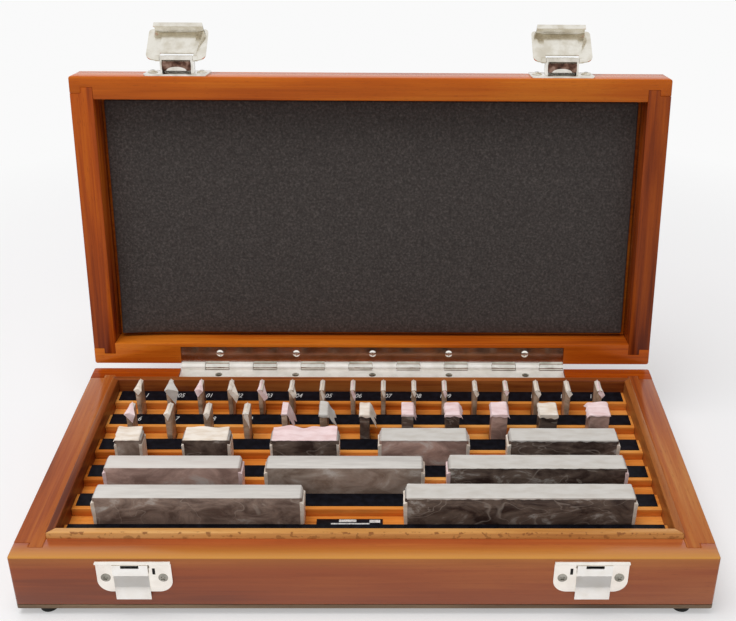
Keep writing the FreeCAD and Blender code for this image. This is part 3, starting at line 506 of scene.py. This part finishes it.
# A thin packet is pinched round its steel, so it is narrower below than where its folds end on top:
# its share of the width there, and the height over which it widens.
PINCH = 0.68
PINCH_RISE = 16 * MM
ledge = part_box("slot_board")[1][2]
for node in sorted(frame["nodes"]):
    if node.startswith("block"):
        size = node[6:]
        tissue = TISSUES[PACKET_TISSUE.get(size, "thin")]
        mesh = clean_mesh(node)
        broken_arrises(mesh, 0.3)
        if size not in PACKET_TISSUE and size not in ("2", "3"):
            middles = [middle.x for low, high, middle in solids_of(node)]
            for vert in mesh.verts:
                middle = min(middles, key=lambda across: abs(across - vert.co.x))
                tall = min(max((vert.co.z - ledge) / PINCH_RISE, 0), 1)
                vert.co.x = middle + (vert.co.x - middle) * (PINCH + (1 - PINCH) * tall**2)
        finish_piece(mesh, node.replace("block", "packet"), tissue, nodes=[node])

# ---------------------------------------------------------------- ears and caps of the packets
# The tissue's loose ends are folded over the tops: a pointed ear on a thin packet, and a crumpled
# cap with a torn edge on a thick one. Here it is dry and opaque, in cream, rose or grey.


def dry_tissue(name, pale, shade):
    """Crumpled dry tissue, cloudy over 3 mm, with its clouds drawn out along the block."""
    material, tree, surface, place = new_material(name, 0.55, 0.3)
    drawn = add(tree, "ShaderNodeMapping", {"Vector": place, "Scale": (0.35, 1, 1)}).outputs[0]
    cloud = add(tree, "ShaderNodeTexNoise", {"Vector": drawn, "Scale": 1 / (3 * MM), "Detail": 4.0})
    shades = [(0.3, shade), (0.6, pale)]
    tint = add(tree, "ShaderNodeValToRGB", {"Fac": cloud.outputs["Fac"]}, stops=shades)
    tree.links.new(tint.outputs["Color"], surface.inputs["Base Color"])
    rough = {"Height": cloud.outputs["Fac"], "Strength": 0.35, "Distance": 0.4 * MM}
    bump = add(tree, "ShaderNodeBump", rough)
    tree.links.new(bump.outputs["Normal"], surface.inputs["Normal"])
    return material


DRY = {
    "cream": dry_tissue("dry_tissue_cream", "FAF0E4", "E4D2BE"),
    "rose": dry_tissue("dry_tissue_rose", "FCE4E4", "E8C6C4"),
    "grey": dry_tissue("dry_tissue_grey", "D8D4CE", "CCC6BE"),
}
# How thick the tissue of an ear or a cap is.
SHEET = 0.16 * MM

# Size: how far the ear reaches left and right of the middle, how low its right wing droops, where
# its tip hangs across and down, and its tint.
EARS = {
    "1": (2.1, 2.1, 0.5, 0.3, 2.6, "cream"),
    "1.005": (2.1, 5.2, 0.6, 3.4, 8.0, "grey"),
    "1.01": (2.4, 2.2, 0.5, -0.7, 3.6, "rose"),
    "1.02": (1.2, 4.6, 3.2, 3.2, 7.0, "cream"),
    "1.03": (1.7, 3.8, 4.4, 1.8, 6.0, "rose"),
    "1.04": (1.6, 2.8, 3.0, 1.2, 4.4, "cream"),
    "1.05": (1.0, 1.6, 3.8, 0.6, 6.0, "cream"),
    "1.06": (1.1, 1.7, 3.0, 1.0, 6.0, "rose"),
    "1.07": (1.0, 1.2, 1.6, 0.4, 4.0, "cream"),
    "1.08": (1.1, 1.3, 1.6, 0.4, 3.6, "cream"),
    "1.09": (1.1, 1.2, 1.6, 0.4, 4.0, "rose"),
    "1.1": (1.2, 2.0, 2.2, 0.7, 3.6, "cream"),
    "1.2": (1.2, 1.6, 1.0, 0.3, 2.8, "rose"),
    "1.3": (1.4, 2.2, 2.0, 0.8, 4.0, "cream"),
    "1.4": (1.4, 2.2, 2.0, 0.6, 3.6, "cream"),
    "1.5": (1.4, 3.0, 2.4, 1.2, 4.0, "rose"),
    "1.6": (2.5, 3.1, 0.6, 1.6, 4.6, "rose"),
    "1.7": (2.1, 1.4, 0.3, 0.1, 3.4, "cream"),
    "1.8": (1.7, 1.7, 0.3, 0.2, 3.0, "cream"),
    "1.9": (1.6, 1.4, 0.2, 1.8, 8.0, "cream"),
}


def folded_ear(size, left, right, droop, across, hang):
    """A kite of paper: from the rear end of the packet's top over its front edge, drooping sideways."""
    low, high, middle = packets[size]
    top = high.z - 0.6 * MM
    rear = Vector((middle.x, high.y - 0.3 * MM, high.z + 0.7 * MM))
    crest = Vector((middle.x, low.y - 0.1 * MM, top + 0.7 * MM))
    port = Vector((middle.x - left * MM, low.y + 0.1 * MM, top - 0.2 * MM))
    wing = Vector((middle.x + right * MM, low.y - 0.1 * MM, top - droop * MM))
    tip = Vector((middle.x + across * MM, low.y - 0.8 * MM, top - hang * MM))
    mesh = bmesh.new()
    corners = [mesh.verts.new(point) for point in (rear, port, crest, wing, tip)]
    for loop in ((0, 1, 2), (0, 2, 3), (1, 4, 2), (2, 4, 3)):
        mesh.faces.new([corners[place] for place in loop])
    bmesh.ops.subdivide_edges(mesh, edges=mesh.edges, cuts=4, use_grid_fill=True)
    for vert in mesh.verts:
        wave = noise.noise(vert.co / (2.2 * MM))
        vert.co += Vector((0.15 * wave, -0.2 * wave, 0.2 * wave)) * MM
    bmesh.ops.recalc_face_normals(mesh, faces=mesh.faces)
    bmesh.ops.solidify(mesh, geom=mesh.faces, thickness=SHEET)
    return mesh


for size, (left, right, droop, across, hang, tint) in EARS.items():
    ear = folded_ear(size, left, right, droop, across, hang)
    finish_piece(ear, "ear_" + size.replace(".", "_"), DRY[tint], body="case", flat=50)

# Size: how far the cap hangs down on the left, the right and in front, how high it is puffed up at
# the rear, how far a hanging side stands off, how crumpled it is, and its tint.
CAPS = {
    "2": (0.6, 11.0, 0.8, 1.0, 0.42, 0.2, "rose"),
    "3": (1.2, 8.5, 2.0, 1.2, 0.55, 0.25, "grey"),
    "4": (0.9, 9.5, 2.2, 1.2, 0.45, 0.25, "cream"),
    "5": (0.8, 5.0, 1.6, 1.0, 0.35, 0.25, "rose"),
    "6": (1.6, 3.6, 1.8, 1.2, 0.6, 0.25, "rose"),
    "7": (2.0, 3.0, 1.8, 1.4, 0.5, 0.3, "rose"),
    "8": (2.0, 1.6, 2.6, 1.2, 0.4, 0.25, "cream"),
    "9": (2.2, 0.8, 1.2, 1.4, 0.8, 0.2, "rose"),
    "10": (1.8, 0.5, 0.6, 1.3, 0.8, 0.25, "cream"),
    "20": (0.4, 0.5, 0.4, 1.0, 0.2, 0.12, "cream"),
    "30": (0.4, 0.6, 0.5, 1.6, 0.2, 0.12, "rose"),
    "40": (0.5, 0.5, 0.5, 0.2, 0.2, 0.06, "grey"),
    "50": (0.4, 0.8, 0.9, 0.2, 0.2, 0.06, "grey"),
    "80": (0.5, 0.5, 0.4, 0.2, 0.2, 0.05, "grey"),
    "100": (0.4, 0.4, 1.0, 0.2, 0.2, 0.05, "grey"),
}


def draped_cap(size, left, right, front, puff, flare, crumple):
    """A sheet laid over a packet's top and bent down over its edges, torn along its free border."""
    low, high, middle = packets[size]
    wide = high.x - low.x - (2 * MM if float(size) >= 10 else 0)
    low_x = middle.x - wide / 2
    deep = high.y - low.y
    across = wide + (left + right) * MM
    cell = max(0.7 * MM, across / 90)
    mesh = bmesh.new()
    bmesh.ops.create_grid(
        mesh,
        x_segments=math.ceil(across / cell),
        y_segments=math.ceil((deep + front * MM) / (0.8 * MM)),
        size=0.5,
    )
    seed = 10 * float(size)
    for vert in mesh.verts:
        x = low_x - left * MM + (vert.co.x + 0.5) * across
        y = low.y - front * MM + (vert.co.y + 0.5) * (deep + front * MM)
        tear_x = 0.75 + 0.6 * noise.noise((seed, y / (2.6 * MM), 0))
        tear_y = 0.75 + 0.6 * noise.noise((x / (3.1 * MM), seed, 0))
        over_left = max(0, low_x - x) * tear_x
        over_right = max(0, x - low_x - wide) * tear_x
        over_front = max(0, low.y - y) * tear_y
        uneven = 0.55 + 0.9 * noise.noise((x / (7 * MM), seed, 3))
        rise = max(0, (y - low.y) / deep) ** 2 * puff * uneven
        ripple = crumple * noise.noise((x / (4 * MM), y / (4 * MM), seed))
        vert.co = Vector(
            (
                min(max(x, low_x), low_x + wide) + (over_right - over_left) * flare,
                max(y, low.y) - (0.2 * MM if over_front else 0) - 0.1 * over_front,
                high.z + (0.25 + rise + ripple) * MM - max(over_left, over_right, over_front),
            )
        )
    bmesh.ops.solidify(mesh, geom=mesh.faces, thickness=-SHEET)
    bmesh.ops.recalc_face_normals(mesh, faces=mesh.faces)
    return mesh


for size, (left, right, front, puff, flare, crumple, tint) in CAPS.items():
    cap = draped_cap(size, left, right, front, puff, flare, crumple)
    finish_piece(cap, "cap_" + size, DRY[tint], body="case", flat=60)

# ---------------------------------------------------------------- folded ends of the long packets
# The ends of a long packet are folded like a parcel's: the last triangle of tissue stands a little
# off the end face and shows as a pale edge.

END_TINTS = {
    "10": "cream", "20": "cream", "30": "cream", "40": "cream", "50": "cream",
    "60": "rose", "70": "cream", "80": "rose", "90": "cream", "100": "cream",
}
# How far a flap stands off the steel below and above: on a short packet, and on a long one.
FLAP_REACH = ((0.9, 1.2), (1.1, 1.7))
for size, tint in END_TINTS.items():
    low, high, middle = packets[size]
    for side, end in ((-1, low.x + 1 * MM), (1, high.x - 1 * MM)):
        mesh = bmesh.new()
        flap = bmesh.ops.create_cube(mesh, size=1.0)["verts"]
        for vert in flap:
            upper = vert.co.z > 0
            outer = vert.co.x * side > 0
            proud = FLAP_REACH[float(size) >= 40][upper]
            vert.co.x = end + side * (proud if outer else -0.1) * MM
            half_deep = (high.y - low.y) / 2 - (0.1 if outer else -0.1) * MM
            vert.co.y = middle.y + (1 if vert.co.y > 0 else -1) * half_deep
            vert.co.z = high.z - (3.4 if outer else 2.2) * MM if upper else ledge - 2 * MM
        bmesh.ops.subdivide_edges(mesh, edges=mesh.edges, cuts=4, use_grid_fill=True)
        for vert in mesh.verts:
            vert.co.x += side * 0.18 * MM * noise.noise(vert.co / (3 * MM))
        broken_arrises(mesh, 0.12, sharp=50, segments=1)
        name = "folded_end_%s_%s" % (size, "right" if side > 0 else "left")
        finish_piece(mesh, name, DRY[tint], body="case", flat=40)

# ---------------------------------------------------------------- foam in the lid
# A sheet of charcoal polyurethane foam lies in the lid, held by its edges; one corner has curled
# up. Its open cells give it a fine pale speckle.

foam, tree, surface, place = new_material("charcoal_foam", 0.95, 0.1)
grained = {"Vector": place, "Scale": 1 / (1.2 * MM), "Detail": 3.0, "Roughness": 0.7}
cells = add(tree, "ShaderNodeTexNoise", grained)
greys = [(0.35, "403C3A"), (0.75, "6A6460"), (0.55, "504B49")]
speckle = add(tree, "ShaderNodeValToRGB", {"Fac": cells.outputs["Fac"]}, stops=greys)
tree.links.new(speckle.outputs["Color"], surface.inputs["Base Color"])
pitted = {"Height": cells.outputs["Fac"], "Strength": 0.4, "Distance": 0.4 * MM}
bump = add(tree, "ShaderNodeBump", pitted)
tree.links.new(bump.outputs["Normal"], surface.inputs["Normal"])
mesh = clean_mesh("foam_pad")
broken_arrises(mesh, 0.8)
foam_low, foam_high = (Vector(corner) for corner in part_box("foam_pad"))
# The foam is cut into cells of this size, so that it can bend. One corner stands up by the curl,
# which fades out over its reach, and the whole face is uneven by the wave. CURL and WAVE are in
# millimetres.
FOAM_CELL = 9 * MM
CURL, CURL_REACH = 2.6, 34 * MM
WAVE, WAVE_LENGTH = 0.25, 45 * MM
for axis, way in (("x", Vector((1, 0, 0))), ("z", lid_along)):
    steps = int((getattr(foam_high, axis) - getattr(foam_low, axis)) / FOAM_CELL)
    for count in range(1, steps):
        spot = foam_low.copy()
        setattr(spot, axis, getattr(foam_low, axis) + count * FOAM_CELL)
        parts = list(mesh.verts) + list(mesh.edges) + list(mesh.faces)
        bmesh.ops.bisect_plane(mesh, geom=parts, dist=0.001 * MM, plane_co=spot, plane_no=way)
for vert in mesh.verts:
    corner = Vector((vert.co.x - foam_low.x, 0, vert.co.z - foam_low.z)).length
    curl = CURL * max(0, 1 - corner / CURL_REACH) ** 2
    wave = WAVE * noise.noise(vert.co / WAVE_LENGTH)
    vert.co += lid_forward * (curl + wave) * MM
pad = finish_piece(mesh, "lid_foam", foam, nodes=["foam_pad"])

# ---------------------------------------------------------------- hinge, catches and clasps
# All the metal is mild steel sheet, stamped and folded, then nickel plated: bright, with a faint
# orange peel and cloudy handling marks. The plating of the base leaf and of the catches' strips
# is duller, so those two are less than fully metallic.


def nickel_plate(name, pale, cloudy, roughness, metallic=1.0):
    """Bright plating over stamped steel: cloudy over 6 mm, with an orange peel of 1.5 mm."""
    material, tree, surface, place = new_material(name, roughness, metallic=metallic)
    cloud = add(tree, "ShaderNodeTexNoise", {"Vector": place, "Scale": 1 / (6 * MM), "Detail": 4.0})
    shades = [(0.35, cloudy), (0.6, pale)]
    tint = add(tree, "ShaderNodeValToRGB", {"Fac": cloud.outputs["Fac"]}, stops=shades)
    tree.links.new(tint.outputs["Color"], surface.inputs["Base Color"])
    peel = add(tree, "ShaderNodeTexNoise", {"Vector": place, "Scale": 1 / (1.5 * MM), "Detail": 2.0})
    faint = {"Height": peel.outputs["Fac"], "Strength": 0.12, "Distance": 0.1 * MM}
    bump = add(tree, "ShaderNodeBump", faint)
    tree.links.new(bump.outputs["Normal"], surface.inputs["Normal"])
    return material


hinge_nickel = nickel_plate("hinge_nickel_plate", "E0DCD4", "C8C4BA", 0.14)
leaf_nickel = nickel_plate("leaf_nickel_plate", "F6F2EC", "E8E4DC", 0.36, metallic=0.45)
catch_nickel = nickel_plate("catch_nickel_plate", "FAF5EC", "F0EAE0", 0.16)
strip_nickel = nickel_plate("strip_nickel_plate", "FFFDF8", "F6F2EA", 0.24, metallic=0.8)
# The screws of the base hinge and of the catches are plated a darker grey: painted shade for their dark
# recesses and rings.
screw_nickel_shaded = nickel_plate("screw_nickel_plate", "B4B0A6", "8C887E", 0.25)
lever_nickel = nickel_plate("lever_nickel_plate", "EAE6DC", "D6CFC0", 0.2)
clasp_nickel = nickel_plate("clasp_nickel_plate", "E8E4DC", "D0CABE", 0.2)
seated_copy("base_hinge_leaf", "plated_base_hinge_leaf", leaf_nickel)
seated_copy("lid_hinge_leaf", "plated_lid_hinge_leaf", hinge_nickel)
seated_copy("hinge_pin", "plated_hinge_pin", hinge_nickel)
for side in ("left", "right"):
    seated_copy("catch_plate_" + side, "catch_plated_plate_" + side, catch_nickel, 0.15)
    seated_copy("catch_strip_" + side, "catch_plated_strip_" + side, strip_nickel)
    seated_copy("clasp_plate_" + side, "clasp_plated_plate_" + side, clasp_nickel, 0.15)
    seated_copy("clasp_lever_" + side, "clasp_plated_lever_" + side, lever_nickel, 0.15)
    seated_copy("clasp_pin_" + side, "clasp_pin_plated_" + side, clasp_nickel)

# ---------------------------------------------------------------- painted shade in the catches' slots
# Thin black lumps stand behind the slot in each catch's hump and in the slot beside it: painted
# shade where those hollows are dark. Each is a thin lump: its place against the front and the rim,
# then its width, depth and height.

slot_shade_paint = mottled("painted_black_slot_shade", 0.35, 0.2, 0.6, 3.0, [(0.3, "060504"), (0.8, "14100E")])
for side, sign in (("left", -1), ("right", 1)):
    plate_low, plate_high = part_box("catch_plate_" + side)
    strip_low, strip_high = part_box("catch_strip_" + side)
    plate_x = (plate_low[0] + plate_high[0]) / 2
    strip_x = (strip_low[0] + strip_high[0]) / 2
    behind_hump = (strip_x, case_front - 1.15 * MM, rim - 3.0 * MM, 8.6 * MM, 0.3 * MM, 2.0 * MM)
    beside_x = plate_x - sign * 8.4 * MM
    beside = (beside_x, case_front - 0.2 * MM, rim - 6.5 * MM, 1.3 * MM, 0.4 * MM, 3.5 * MM)
    mesh = bmesh.new()
    for x, y, z, wide, deep, tall in (behind_hump, beside):
        lump = bmesh.ops.create_cube(mesh, size=1.0)["verts"]
        bmesh.ops.scale(mesh, vec=(wide, deep, tall), verts=lump)
        bmesh.ops.translate(mesh, vec=(x, y, z), verts=lump)
    finish_piece(mesh, "painted_slot_shade_lump_" + side, slot_shade_paint, body="case")

# ---------------------------------------------------------------- painted shade in the mouths of the clasps' hoods
# Under each hood lies a leaf spring that keeps the lever up. A thin dark brown plate across each
# hood's mouth is painted shade and a painted reflection of the wood, for the hollow behind it, and
# the spring's rounded end shines at its foot.

MOUTH_WIDE, MOUTH_THICK, MOUTH_TALL = 14.6 * MM, 0.2 * MM, 4.6 * MM
MOUTH_ROUND = 0.9 * MM
SPRING_HALF_WIDE, SPRING_TALL = 5.0 * MM, 1.9 * MM
hood_shade_browns = [(0.35, "3C2A24"), (0.65, "94786A"), (0.5, "64483C")]
hood_shade_paint = mottled("painted_hood_shade_nickel", 0.3, 0.5, 3, 2.0, hood_shade_browns, metallic=1.0)
for side in ("left", "right"):
    plate_low, plate_high = (Vector(corner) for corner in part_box("clasp_plate_" + side))
    middle = Vector(((plate_low.x + plate_high.x) / 2, plate_low.y + 5.74 * MM, plate_low.z + 6.0 * MM))
    tilt = Matrix.Translation(middle) @ Matrix.Rotation(-lean, 4, "X")
    mesh = bmesh.new()
    mouth = bmesh.ops.create_cube(mesh, size=1.0)["verts"]
    bmesh.ops.scale(mesh, vec=(MOUTH_WIDE, MOUTH_THICK, MOUTH_TALL), verts=mouth)
    corners = [edge for edge in mesh.edges if abs(edge.verts[0].co.y - edge.verts[1].co.y) > 0.1 * MM]
    bmesh.ops.bevel(
        mesh,
        geom=corners,
        offset=MOUTH_ROUND,
        offset_type="OFFSET",
        segments=4,
        profile=0.5,
        affect="EDGES",
        material=-1,
    )
    bmesh.ops.transform(mesh, matrix=tilt, verts=mesh.verts)
    finish_piece(mesh, "hood_mouth_painted_shade_" + side, hood_shade_paint, body="lid")
    mesh = bmesh.new()
    bmesh.ops.create_circle(mesh, cap_ends=True, radius=1.0, segments=40)
    bmesh.ops.scale(mesh, vec=(SPRING_HALF_WIDE, SPRING_TALL, 1), verts=mesh.verts)
    bmesh.ops.bisect_plane(
        mesh,
        geom=list(mesh.verts) + list(mesh.edges) + list(mesh.faces),
        dist=0.001 * MM,
        plane_co=(0, 0, 0),
        plane_no=(0, 1, 0),
        clear_inner=True,
    )
    bmesh.ops.solidify(mesh, geom=mesh.faces, thickness=MOUTH_THICK)
    bmesh.ops.recalc_face_normals(mesh, faces=mesh.faces)
    upright = Matrix.Translation((0, -0.15 * MM, -2.3 * MM)) @ Matrix.Rotation(math.radians(90), 4, "X")
    bmesh.ops.transform(mesh, matrix=tilt @ upright, verts=mesh.verts)
    finish_piece(mesh, "spring_end_" + side, clasp_nickel, body="lid")

# ---------------------------------------------------------------- screws
# Small plated wood screws with domed heads and a cross recess. Only the heads are made, open below
# where they sit in the metal, and each is turned to an angle of its own.

# The dome's outline from its top to its rim: shares of the head's radius and of its rise.
HEAD_RINGS = ((0.0, 1.0), (0.22, 0.98), (0.5, 0.88), (0.8, 0.62), (1.0, 0.2), (1.0, -0.1))


def screw_heads(name, node, radius, rise, seat, material):
    """Domed heads with a cross recess, one on each of the node's solids."""
    mesh = bmesh.new()
    turn = Vector((0, 0, 1)).rotation_difference(seat).to_matrix().to_4x4()
    for count, (low, high, middle) in enumerate(solids_of(node)):
        head = bmesh.new()
        rings = [head.verts.new((ring * radius * MM, 0, tall * rise * MM)) for ring, tall in HEAD_RINGS]
        edges = [head.edges.new(pair) for pair in zip(rings, rings[1:])]
        bmesh.ops.spin(
            head,
            geom=rings + edges,
            cent=(0, 0, 0),
            axis=(0, 0, 1),
            angle=2 * math.pi,
            steps=24,
            use_merge=True,
        )
        bmesh.ops.remove_doubles(head, verts=head.verts, dist=0.001 * MM)
        for normal in ((1, 0, 0), (0, 1, 0)):
            for side in (-1, 1):
                parts = list(head.verts) + list(head.edges) + list(head.faces)
                spot = Vector(normal) * side * 0.15 * radius * MM
                bmesh.ops.bisect_plane(head, geom=parts, dist=0.001 * MM, plane_co=spot, plane_no=normal)
        arm = 0.16 * radius * MM
        recess = []
        for face in head.faces:
            spot = face.calc_center_median()
            in_cross = min(abs(spot.x), abs(spot.y)) < arm
            if spot.xy.length < 0.5 * radius * MM and in_cross and spot.z > 0.5 * rise * MM:
                recess.append(face)
        sunk = bmesh.ops.extrude_face_region(head, geom=recess)["geom"]
        bmesh.ops.delete(head, geom=recess, context="FACES")
        floor_verts = [item for item in sunk if isinstance(item, bmesh.types.BMVert)]
        bmesh.ops.translate(head, vec=(0, 0, -0.55 * rise * MM), verts=floor_verts)
        bmesh.ops.recalc_face_normals(head, faces=head.faces)
        twist = Matrix.Rotation(0.5 + 1.7 * count, 4, "Z")
        place = Matrix.Translation(middle - seat * rise / 2 * MM) @ turn @ twist
        bmesh.ops.transform(head, matrix=place, verts=head.verts)
        data = bpy.data.meshes.new("head")
        head.to_mesh(data)
        head.free()
        mesh.from_mesh(data)
        bpy.data.meshes.remove(data)
    return finish_piece(mesh, name, material, nodes=[node], flat=40)


screw_heads("hinge_screws_base", "base_hinge_screws", 1.9, 0.42, Vector((0, 0, 1)), screw_nickel_shaded)
screw_heads("hinge_screws_lid", "lid_hinge_screws", 1.9, 0.42, lid_forward, catch_nickel)
screw_heads("screws_of_catches", "catch_screws", 2.1, 0.6, Vector((0, -1, 0)), screw_nickel_shaded)
screw_heads("screws_of_clasps", "clasp_screws", 2.6, 1.3, lid_along, lever_nickel)

# ---------------------------------------------------------------- feet
# Four small black rubber feet are glued below the bottom board, near its corners. The rubber is
# dull, with a fine mottle.

rubber = mottled("black_rubber", 0.8, 0.3, 0.8, 3.0, [(0.3, "121212"), (0.7, "222222")])
seated_copy("rubber_feet", "glued_feet", rubber, 0.3)

# ---------------------------------------------------------------- floor, light and camera
# A pale table top under soft studio light from above and in front, and a camera that looks down
# on the case by about 28 degrees.

WHITE = paint("FFFFFF")
# How bright the backdrop and the table's own glow are to the camera and in mirrors, and how bright
# the room is as a light.
BACKDROP = 0.955
TABLE_GLOW = 0.36
ROOM_LIGHT = 0.36
# How far the table reaches, and where it starts and ends to fade into the backdrop, in metres.
TABLE_REACH = 3.0
FADE_START, FADE_END = 0.3, 0.55


def shown_rays(tree):
    """1 for a ray from the camera, off a mirror or through glass, and 0 for one that lights a surface."""
    path = add(tree, "ShaderNodeLightPath").outputs
    seen = {0: path["Is Camera Ray"], 1: path["Is Glossy Ray"]}
    seen = add(tree, "ShaderNodeMath", seen, operation="MAXIMUM")
    seen = {0: seen.outputs[0], 1: path["Is Transmission Ray"]}
    return add(tree, "ShaderNodeMath", seen, operation="MAXIMUM").outputs[0]


mesh = bmesh.new()
bmesh.ops.create_grid(mesh, x_segments=1, y_segments=1, size=TABLE_REACH)
data = bpy.data.meshes.new("floor")
mesh.to_mesh(data)
mesh.free()
floor = bpy.data.objects.new("floor", data)
bpy.context.scene.collection.objects.link(floor)
floor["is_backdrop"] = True
pale, tree, surface, place = new_material("pale_table", 0.6, 0.2)
surface.inputs["Base Color"].default_value = paint("CCCBCC")
seen = shown_rays(tree)
glow = add(tree, "ShaderNodeMath", {0: seen, 1: TABLE_GLOW}, operation="MULTIPLY")
tree.links.new(glow.outputs[0], surface.inputs["Emission Strength"])
surface.inputs["Emission Color"].default_value = WHITE
reach = add(tree, "ShaderNodeVectorMath", {0: place}, operation="LENGTH")
fading = {"Value": reach.outputs["Value"], "From Min": FADE_START, "From Max": FADE_END}
fade = add(tree, "ShaderNodeMapRange", fading)
fade = add(tree, "ShaderNodeMath", {0: fade.outputs[0], 1: seen}, operation="MULTIPLY")
plain = add(tree, "ShaderNodeEmission", {"Color": WHITE, "Strength": BACKDROP})
far = {0: fade.outputs[0], 1: surface.outputs["BSDF"], 2: plain.outputs[0]}
table_out = next(node for node in tree.nodes if node.type == "OUTPUT_MATERIAL")
tree.links.new(add(tree, "ShaderNodeMixShader", far).outputs[0], table_out.inputs["Surface"])
# The glow is only for what sees the table, so the table isn't sampled as a lamp.
pale.cycles.emission_sampling = "NONE"
floor.data.materials.append(pale)

world = bpy.data.worlds.new("studio")
bpy.context.scene.world = world
world.use_nodes = True
tree = world.node_tree
tree.nodes.clear()
seen = shown_rays(tree)
dim = add(tree, "ShaderNodeBackground", {"Color": WHITE, "Strength": ROOM_LIGHT})
bright = add(tree, "ShaderNodeBackground", {"Color": WHITE, "Strength": BACKDROP})
both = add(tree, "ShaderNodeMixShader", {0: seen, 1: dim.outputs[0], 2: bright.outputs[0]})
add(tree, "ShaderNodeOutputWorld", {"Surface": both.outputs[0]})


def soft_lamp(name, place, target, width, watts):
    """A square soft box at place, turned to target, that the metal doesn't mirror."""
    light = bpy.data.lights.new(name, "AREA")
    light.shape = "SQUARE"
    light.size = width
    light.energy = watts
    lamp = bpy.data.objects.new(name, light)
    bpy.context.scene.collection.objects.link(lamp)
    lamp.location = place
    lamp.rotation_euler = (Vector(target) - Vector(place)).to_track_quat("-Z", "Y").to_euler()
    lamp.visible_glossy = False


soft_lamp("top_box", (-0.25, -0.15, 1.2), (0, 0.0, 0), 0.8, 9.5)
soft_lamp("front_box", (-0.4, -1.5, 0.8), (0, 0, 0.08), 0.8, 2.2)

camera_data = bpy.data.cameras.new("camera")
camera_data.sensor_width = 36.0
camera_data.lens = 53.88
camera_data.shift_x = -0.0541
camera_data.shift_y = 0.0004
camera = bpy.data.objects.new("camera", camera_data)
bpy.context.scene.collection.objects.link(camera)
camera_right = Vector((0.99993843, -0.00795695, 0.00773405))
camera_up = Vector((-0.00305745, 0.47244198, 0.88135647))
turned = Matrix((camera_right, camera_up, camera_right.cross(camera_up))).transposed().to_4x4()
stand = (12.733 * MM, case_front - 360.718 * MM, rim + 311.989 * MM)
camera.matrix_world = Matrix.Translation(stand) @ turned
bpy.context.scene.camera = camera
bpy.context.scene.view_settings.view_transform = "Standard"

visual_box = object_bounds()
corners = {"cad": cad_box, "visual": visual_box}
